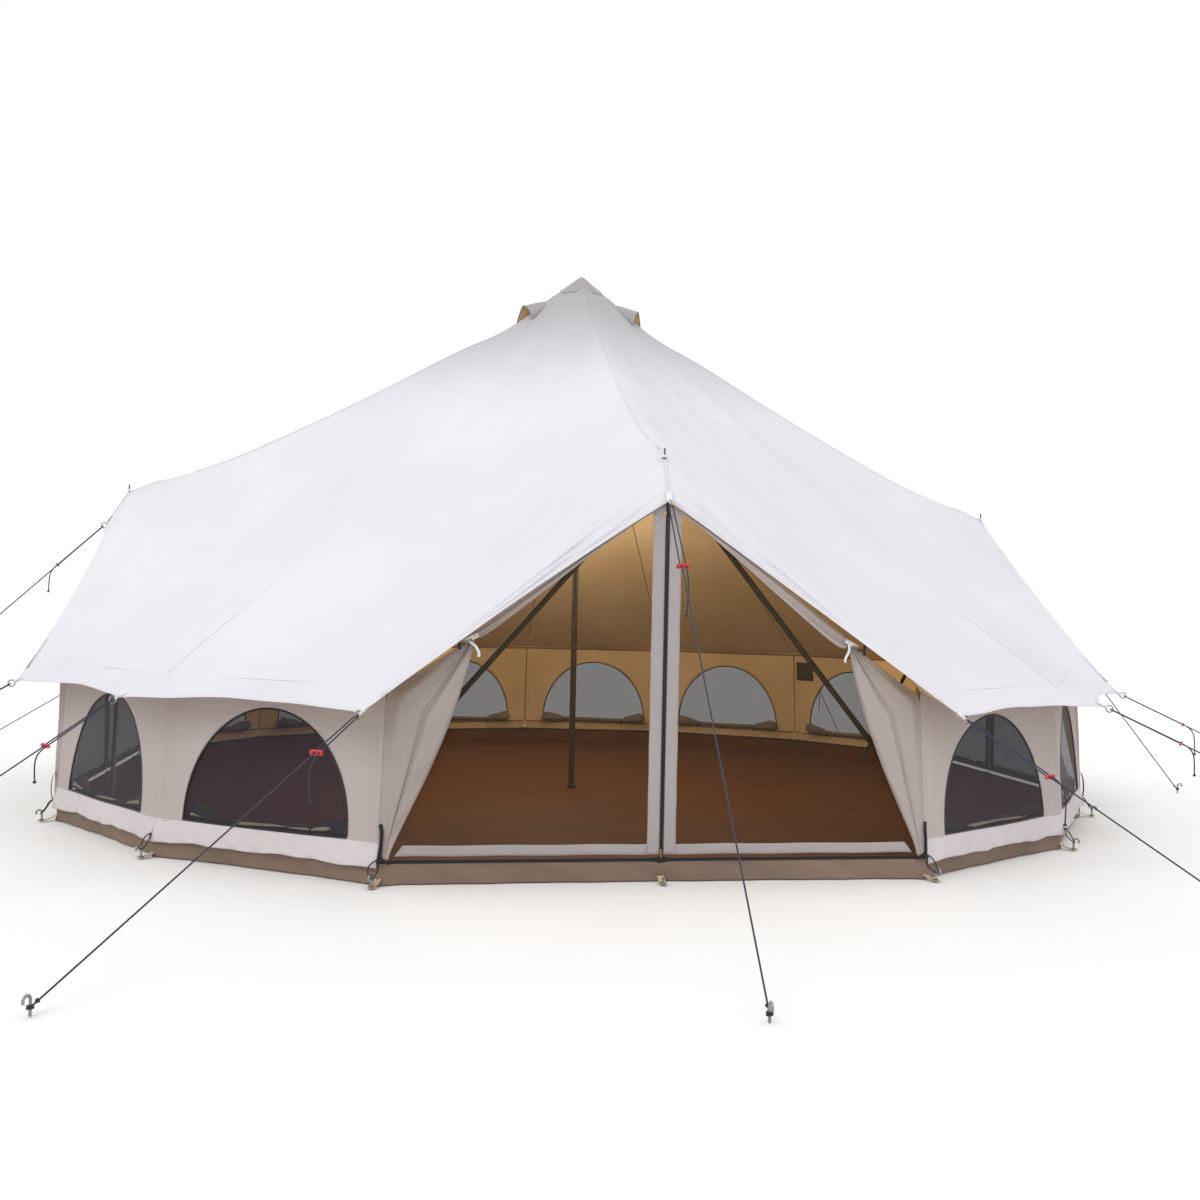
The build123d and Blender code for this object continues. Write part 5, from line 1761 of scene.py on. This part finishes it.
cap_cols = 96
z05 = canopy_z(0.0, -0.052) + 0.0032
cap_rows = [(0.0, 3.1975), (0.005, 3.1970), (0.010, 3.1942), (0.016, 3.1870), (0.024, 3.1725), (0.033, 3.1548), (0.042, 3.1385), (0.052, z05)]
V = [np.array([0, 0, cap_rows[0][1]])]
for r_, z_ in cap_rows[1:]:
    for k_ in range(cap_cols):
        a_ = 2 * math.pi * k_ / cap_cols
        zr_ = canopy_z(0.052 * math.sin(a_), -0.052 * math.cos(a_)) + 0.0032
        V.append(np.array([r_ * math.sin(a_), -r_ * math.cos(a_), 3.1978 - (3.1978 - zr_) * (r_ / 0.052) ** 1.28]))
for n_, r_ in enumerate((0.066, 0.080, 0.094, 0.108, 0.120, 0.1275, 0.130)):
    for k_ in range(cap_cols):
        a_ = 2 * math.pi * k_ / cap_cols
        x_, y_ = r_ * math.sin(a_), -r_ * math.cos(a_)
        lift_ = 0.0032 + (0.0008 * math.sin(a_ * 11 + n_) if n_ > 1 else 0) - (0.0008 if n_ == 6 else 0)
        V.append(np.array([x_, y_, canopy_z(x_, y_) + lift_]))
V = np.array(V)
F = [[0, 1 + k_, 1 + (k_ + 1) % cap_cols] for k_ in range(cap_cols)] + grid_faces(14, cap_cols, base=1, wrap=True, flip=True)
Nn = normals_of(V, F)
if Nn[:, 2].sum() < 0:
    F = [f[::-1] for f in F]
    Nn = -Nn
cap_uv = np.stack([np.arctan2(V[:, 0], -V[:, 1]) * 0.13, np.hypot(V[:, 0], V[:, 1])], 1)
W, F2, mi, UV = thicken(V, F, 0.0016, outer=0, inner=0, rim=0, uvs=cap_uv, normals=Nn)
# the cap's darker grey is painted shade at the peak
cap = make("peak_cap_cloth", W, F2, ["cap"], mi, UV)
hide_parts("peak_cap")
ride(cap)
# its stitched hem
hem_line = np.array([[0.1245 * math.sin(a_), -0.1245 * math.cos(a_), canopy_z(0.1245 * math.sin(a_), -0.1245 * math.cos(a_)) + 0.0040] for a_ in np.linspace(0, 2 * math.pi, 121)])
hem_n = np.array([unit(np.array([0.55 * p_[0] / 0.1245, 0.55 * p_[1] / 0.1245, 0.83])) for p_ in hem_line])
V, F, U = band(hem_line, hem_n, 0.011, 0.0006)
ch = make("peak_cap_hem", V, F, ["cap_seam"], uvs=U)
ride(ch)

vents, vent_rims, vent_holes, vent_area = [], [], [], 0.0
for az in (90.0, -90.0):
    dirv = pt(az, 1.0)
    # across points to the front side of the tent
    across = np.array([0.0, -1.0, 0.0])
    nu, nv = 22, 29
    G = np.zeros((nu, nv, 3))
    for i_ in range(nu):
        u = i_ / (nu - 1)
        for k_ in range(nv):
            ph = math.pi * (k_ / (nv - 1) - 0.5)          # -90 back side, +90 front side
            half = 0.040 + 0.052 * u ** 0.8
            a_ = half * math.sin(ph)
            # the mouth is cut back on the front side
            end_ = 0.396 - 0.080 * (0.5 + 0.5 * math.sin(ph)) ** 1.2
            r_ = 0.222 + (end_ - 0.222) * u
            h_ = 0.080 * u ** 0.90 * max(0.0, math.cos(ph)) ** 0.66
            h_ += 0.0014 * math.sin(9 * ph + az) * u * math.cos(ph)
            x_, y_ = dirv[0] * r_ + across[0] * a_, dirv[1] * r_ + across[1] * a_
            z_ = canopy_z(x_, y_) + 0.0022 + h_
            G[i_, k_] = (x_, y_, z_)
    Vv = G.reshape(-1, 3)
    Fv = grid_faces(nu, nv)
    Nv = normals_of(Vv, Fv)
    if Nv[:, 2].sum() < 0:
        Fv = [f[::-1] for f in Fv]
        Nv = -Nv
    vent_area += area_of(Vv, Fv)
    uu = np.array([(i_ * 0.008, k_ * 0.009) for i_ in range(nu) for k_ in range(nv)])
    Wv, Fv2, mv, Uv = thicken(Vv, Fv, 0.0016, outer=0, inner=1, rim=0, uvs=uu, normals=Nv)
    vents.append((Wv, Fv2, mv, Uv))
    rim_line = resample(G[-1], 60)
    ctr = rim_line.mean(0)
    rim_n = np.array([unit(p_ - ctr + np.array([0, 0, 0.01])) for p_ in rim_line])
    vent_rims.append(band(rim_line, rim_n, 0.012, 0.0030, lift=-0.0010))
    vent_rims.append(tube(rim_line, 0.0026, 8))
    # meshed opening in the roof under the scoop
    H = []
    for i_ in range(7):
        for k_ in range(13):
            r_ = 0.262 + 0.100 * i_ / 6
            a_ = (k_ / 12 - 0.5) * 2 * (0.046 + 0.020 * i_ / 6)
            x_, y_ = dirv[0] * r_ + across[0] * a_, dirv[1] * r_ + across[1] * a_
            H.append((x_, y_, canopy_z(x_, y_) + 0.0030))
    Hf = grid_faces(7, 13)
    vent_holes.append((np.array(H), Hf, np.array(H)[:, :2]))
V, F, MI, U = layers(vents)
# scoops and rims use the cap canvas, whose darker grey is painted shade
vent = make("roof_vent_scoops", V, F, ["cap", "inner"], MI, U)
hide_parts("roof_vents")
ride(vent)
V, F, U = joined(vent_rims)
vr = make("roof_vent_rims", V, F, ["cap"], uvs=U)
ride(vr)
V, F, U = joined(vent_holes)
vh = make("roof_vent_mesh", V, F, ["vent_mesh"], uvs=U)
ride(vh)

# ---------------------------------------------------------------------------
# Seams and hems of the canopy
# ---------------------------------------------------------------------------
outside, inside, ridges = [], [], []
for k_ in range(16):
    j_ = k_ * SEG
    door_here = c_kind[j_] is not None and c_kind[j_][2] == 0
    last = N1 - 6 if door_here else N1 + 1
    ids = c_index[5:last, j_]
    P, N = cx[ids], edge_N[ids]
    ridges.append(band(P, N, 0.011, 0.0004, lift=0.0004))
    ids = c_index[3:N1 - 1, j_]
    P, N = cx[ids], edge_N[ids]
    inside.append(band(P, -N, 0.007, 0.0016, lift=0.0006))
# front seam of every hood, spike to lip
hems = []
for dz, ids in c_hoods.items():
    col = ids[1:, SEG]
    outside.append(band(cx[col], edge_N[col], 0.012, 0.0009, lift=0.0004))
    e0, e1 = cx[ids[-1, 1:-1]], cx[ids[-3, 1:-1]]
    nn = edge_N[ids[-1, 1:-1]]
    spike_, lip_ = pt(dz, SPIKE_R, SPIKE_Z), pt(dz, LIP_R, LIP_Z)
    for part, sd_ in ((slice(0, SEG), -1), (slice(SEG - 1, None), 1)):
        q0 = e0[part]
        e_dir = unit(pt(dz + sd_ * STEP, EAVE_R, EAVE_Z) - lip_)
        inw = unit((spike_ - lip_) - ((spike_ - lip_) @ e_dir) * e_dir)
        n_ = unit(np.cross(e_dir, inw))
        if n_ @ unit(pt(dz, 1.0) + np.array([0, 0, 0.5])) < 0:
            n_ = -n_
        hems.append(band(q0 + inw * 0.0085, n_, 0.016, 0.0012, lift=0.0004))
for k_ in range(16):
    a0, a1 = k_ * SEG, (k_ + 1) * SEG
    if c_kind[a0 + SEG // 2] is not None:
        continue
    cols = [j_ % NC for j_ in range(a0, a1 + 1)]
    q0, q1 = cx[c_index[-1, cols]], cx[c_index[-2, cols]]
    nn = edge_N[c_index[-1, cols]]
    inw = (q1 - q0) / np.maximum(np.linalg.norm(q1 - q0, axis=1), 1e-6)[:, None]
    hems.append(band(q0 + inw * 0.010, nn, 0.018, 0.0010, lift=0.0003))
V, F, U = joined(outside + hems)
so = make("canopy_seams", V, F, ["seam"], uvs=U)
ride(so)
V, F, U = joined(ridges)
rs_ = make("ridge_seams", V, F, ["roof"], uvs=U)
ride(rs_)
# inside: the ridge seams, the ring seam over the walls and the wall's own corner seams
for a_, b_ in PANELS:
    org, along, upv, out = wall_axes(a_, b_)
    xs_ = np.linspace(-0.572, 0.572, 20)
    line = org + np.outer(xs_, along) + np.outer(np.full(20, 0.784), upv) - np.outer(0.0052 + 0.0062 * (1 - (xs_ / 0.5755) ** 2), out)
    inside.append(band(line, -out, 0.011, 0.0016))
    line = org + np.outer(xs_, along) + np.outer(np.full(20, 0.158), upv) - np.outer(0.0010 + 0.004 * (1 - (xs_ / 0.58) ** 2), out)
    inside.append(band(line, -out, 0.008, 0.0014))
for a_ in CORNERS:
    line = np.linspace(pt(a_, R_BASE - 0.005, 0.16), pt(a_, SEAM_R - 0.006, 0.785), 16)
    inside.append(band(line, -unit(pt(a_, 1.0)), 0.008, 0.0014))
V, F, U = joined(inside)
si = make("inside_seams", V, F, ["seam_in"], uvs=U)
ride(si)

# dark pocket for an electric lead on the rear wall
p_org, pa, pu, po = wall_axes(112.5, 135.0)
p_at = p_org + pa * 0.462 + pu * 0.657
pu = unit(pu)
g = []
for i_ in range(9):
    for k_ in range(9):
        x_, z_ = (k_ / 8 - 0.5) * 0.165, (i_ / 8 - 0.5) * 0.145
        puff = 0.006 * math.cos(math.pi * (k_ / 8 - 0.5)) * math.cos(math.pi * (i_ / 8 - 0.5))
        g.append(p_at + pa * x_ + pu * z_ - po * (0.010 + puff))
g = np.array(g)
gf = grid_faces(9, 9)
gn = normals_of(g, gf)
W, F2, mi, UV = thicken(g, gf, 0.0020, rim=0, outer=0, inner=0, uvs=np.array([(k_ * 0.0187, i_ * 0.0187) for i_ in range(9) for k_ in range(9)]), normals=gn)
pk = make("lead_pocket", W, F2, ["dark_cloth"], mi, UV)
ride(pk)

# ---------------------------------------------------------------------------
# Webbing at the guy rings, the spikes, the stakes, and the elastic loops
# ---------------------------------------------------------------------------
white_tabs = []
for name, uc, s_v, d_v in loops:
    top = np.asarray(uc) - np.asarray(d_v) * 0.038
    s_v, d_v = unit(np.asarray(s_v)), unit(np.asarray(d_v))
    n_v = np.cross(s_v, d_v)
    if n_v[2] < 0:
        n_v = -n_v
    az = math.degrees(math.atan2(top[0], -top[1]))
    if name.endswith("lip"):
        c_dir = unit(pt(az, LIP_R, LIP_Z) - pt(az, SPIKE_R, SPIKE_Z))
    else:
        c_dir = unit(pt(az, EAVE_R, EAVE_Z) - pt(az, SEAM_R, SEAM_Z))
    c_nrm = np.cross(s_v, c_dir)
    if c_nrm @ unit(pt(az, 1.0) + np.array([0, 0, 1.0])) < 0:
        c_nrm = -c_nrm
    reach = 0.045
    for lift_ in (0.0014, -0.0030):
        flat_ = np.array([top - c_dir * reach * (1 - k_ / 9) + c_dir * 0.003 * (k_ / 9) for k_ in range(10)]) + c_nrm * lift_
        white_tabs.append(band(flat_, c_nrm, 0.026, 0.0014))
    path = [top - d_v * 0.014 + s_v * 0.0022, top - d_v * 0.004 + s_v * 0.0040, top + d_v * 0.005 + s_v * 0.0052,
            top + d_v * 0.0105 + s_v * 0.0034, top + d_v * 0.0105 - s_v * 0.0034,
            top + d_v * 0.005 - s_v * 0.0052, top - d_v * 0.004 - s_v * 0.0040, top - d_v * 0.014 - s_v * 0.0022]
    P = rounded(path, 30)
    nrm_ = np.array([unit(np.cross(n_v, P[min(i_ + 1, 29)] - P[max(i_ - 1, 0)])) for i_ in range(30)])
    if nrm_[2] @ s_v < 0:
        nrm_ = -nrm_
    white_tabs.append(band(P, nrm_, 0.013, 0.0011))
for dz in DOORS.values():
    c_ = pt(dz, SPIKE_R, SPIKE_Z + 0.0045)
    ring = np.array([c_ + 0.0115 * (math.cos(t_) * np.array([1, 0, 0]) + math.sin(t_) * np.array([0, 1, 0])) for t_ in np.linspace(0, 2 * math.pi, 29)])
    white_tabs.append(tube(ring, 0.0036, 8, caps=False))
    ring = np.array([c_ + 0.0075 * (math.cos(t_) * np.array([1, 0, 0]) + math.sin(t_) * np.array([0, 1, 0])) + np.array([0, 0, 0.004]) for t_ in np.linspace(0, 2 * math.pi, 29)])
    white_tabs.append(tube(ring, 0.0030, 8, caps=False))
V, F, U = joined(white_tabs)
wt = make("guy_webbing", V, F, ["tape"], uvs=U)
ride(wt)

stake_points = [(pt(a_, 3.062), unit(pt(a_, 1.0)), 0.062, False) for a_ in CORNERS]
for dz in DOORS.values():
    stake_points.append((turn(np.array([[0, -(DOOR_Y + 0.052), 0]]), dz)[0], turn(np.array([[0, -1.0, 0]]), dz)[0], 0.034, True))
tan_tabs, grommets, elastics = [], [], []
for sp_, out_, hgt, at_door in stake_points:
    side_ = np.array([-out_[1], out_[0], 0])
    base_ = sp_ - out_ * (0.052 if at_door else 0.066)
    P = rounded([base_ + np.array([0, 0, 0.026]), base_ + out_ * 0.010 + np.array([0, 0, 0.018]), base_ + out_ * 0.030 + np.array([0, 0, 0.0085]),
                 sp_ - out_ * 0.012 + np.array([0, 0, 0.0062]), sp_ + out_ * 0.018 + np.array([0, 0, 0.0058])], 22)
    tan_tabs.append(band(P, np.array([0, 0, 1.0]), 0.030, 0.0018))
    for zz, rad_ in ((0.0085, 0.0098), (0.0052, 0.0098)):
        ring = np.array([sp_ + rad_ * (math.cos(t_) * out_ + math.sin(t_) * side_) + np.array([0, 0, zz]) for t_ in np.linspace(0, 2 * math.pi, 29)])
        grommets.append(tube(ring, 0.0022, 8, caps=False))
    if not at_door:
        # elastic from the foot of the wall, out round the stake and back
        c_ = pt(math.degrees(math.atan2(sp_[0], -sp_[1])), 3.0)
        hem_ = c_ + out_ * 0.020 + np.array([0, 0, 0.102])
        P = rounded([hem_ + side_ * 0.006, c_ + out_ * 0.038 + side_ * 0.020 + np.array([0, 0, 0.078]),
                     sp_ + side_ * 0.012 - out_ * 0.004 + np.array([0, 0, 0.046]), sp_ + out_ * 0.009 + np.array([0, 0, 0.038]),
                     sp_ - side_ * 0.012 - out_ * 0.002 + np.array([0, 0, 0.044]), c_ + out_ * 0.036 - side_ * 0.030 + np.array([0, 0, 0.068]),
                     c_ + out_ * 0.030 - side_ * 0.022 + np.array([0, 0, 0.088]), hem_ - side_ * 0.006], 60)
        elastics.append(tube(P, 0.0027, 7))
        elastics.append(knot_mesh(hem_ - out_ * 0.002, 0.0075, 0.004, out_))
V, F, U = joined(tan_tabs)
tt = make("stake_webbing", V, F, ["tan"], uvs=U)
ride(tt)
V, F, U = joined(grommets)
gr = make("stake_grommets", V, F, ["brass"], uvs=U)
ride(gr)
V, F, U = joined(elastics)
el = make("wall_elastics", V, F, ["black"], uvs=U)
ride(el)

# ---------------------------------------------------------------------------
# CAD pieces that keep their shape and get their finish
# ---------------------------------------------------------------------------
for node, m in (("centre_pole_sections", "pole"), ("pole_feet", "rubber"), ("door_frame_legs", "pole"),
                ("door_frame_elbows", "spike"), ("base_pegs", "steel"), ("guy_rings", "steel"), ("guy_pegs", "steel")):
    ob = nodes[node]
    for sl in ob.material_slots:
        sl.material = M[m]
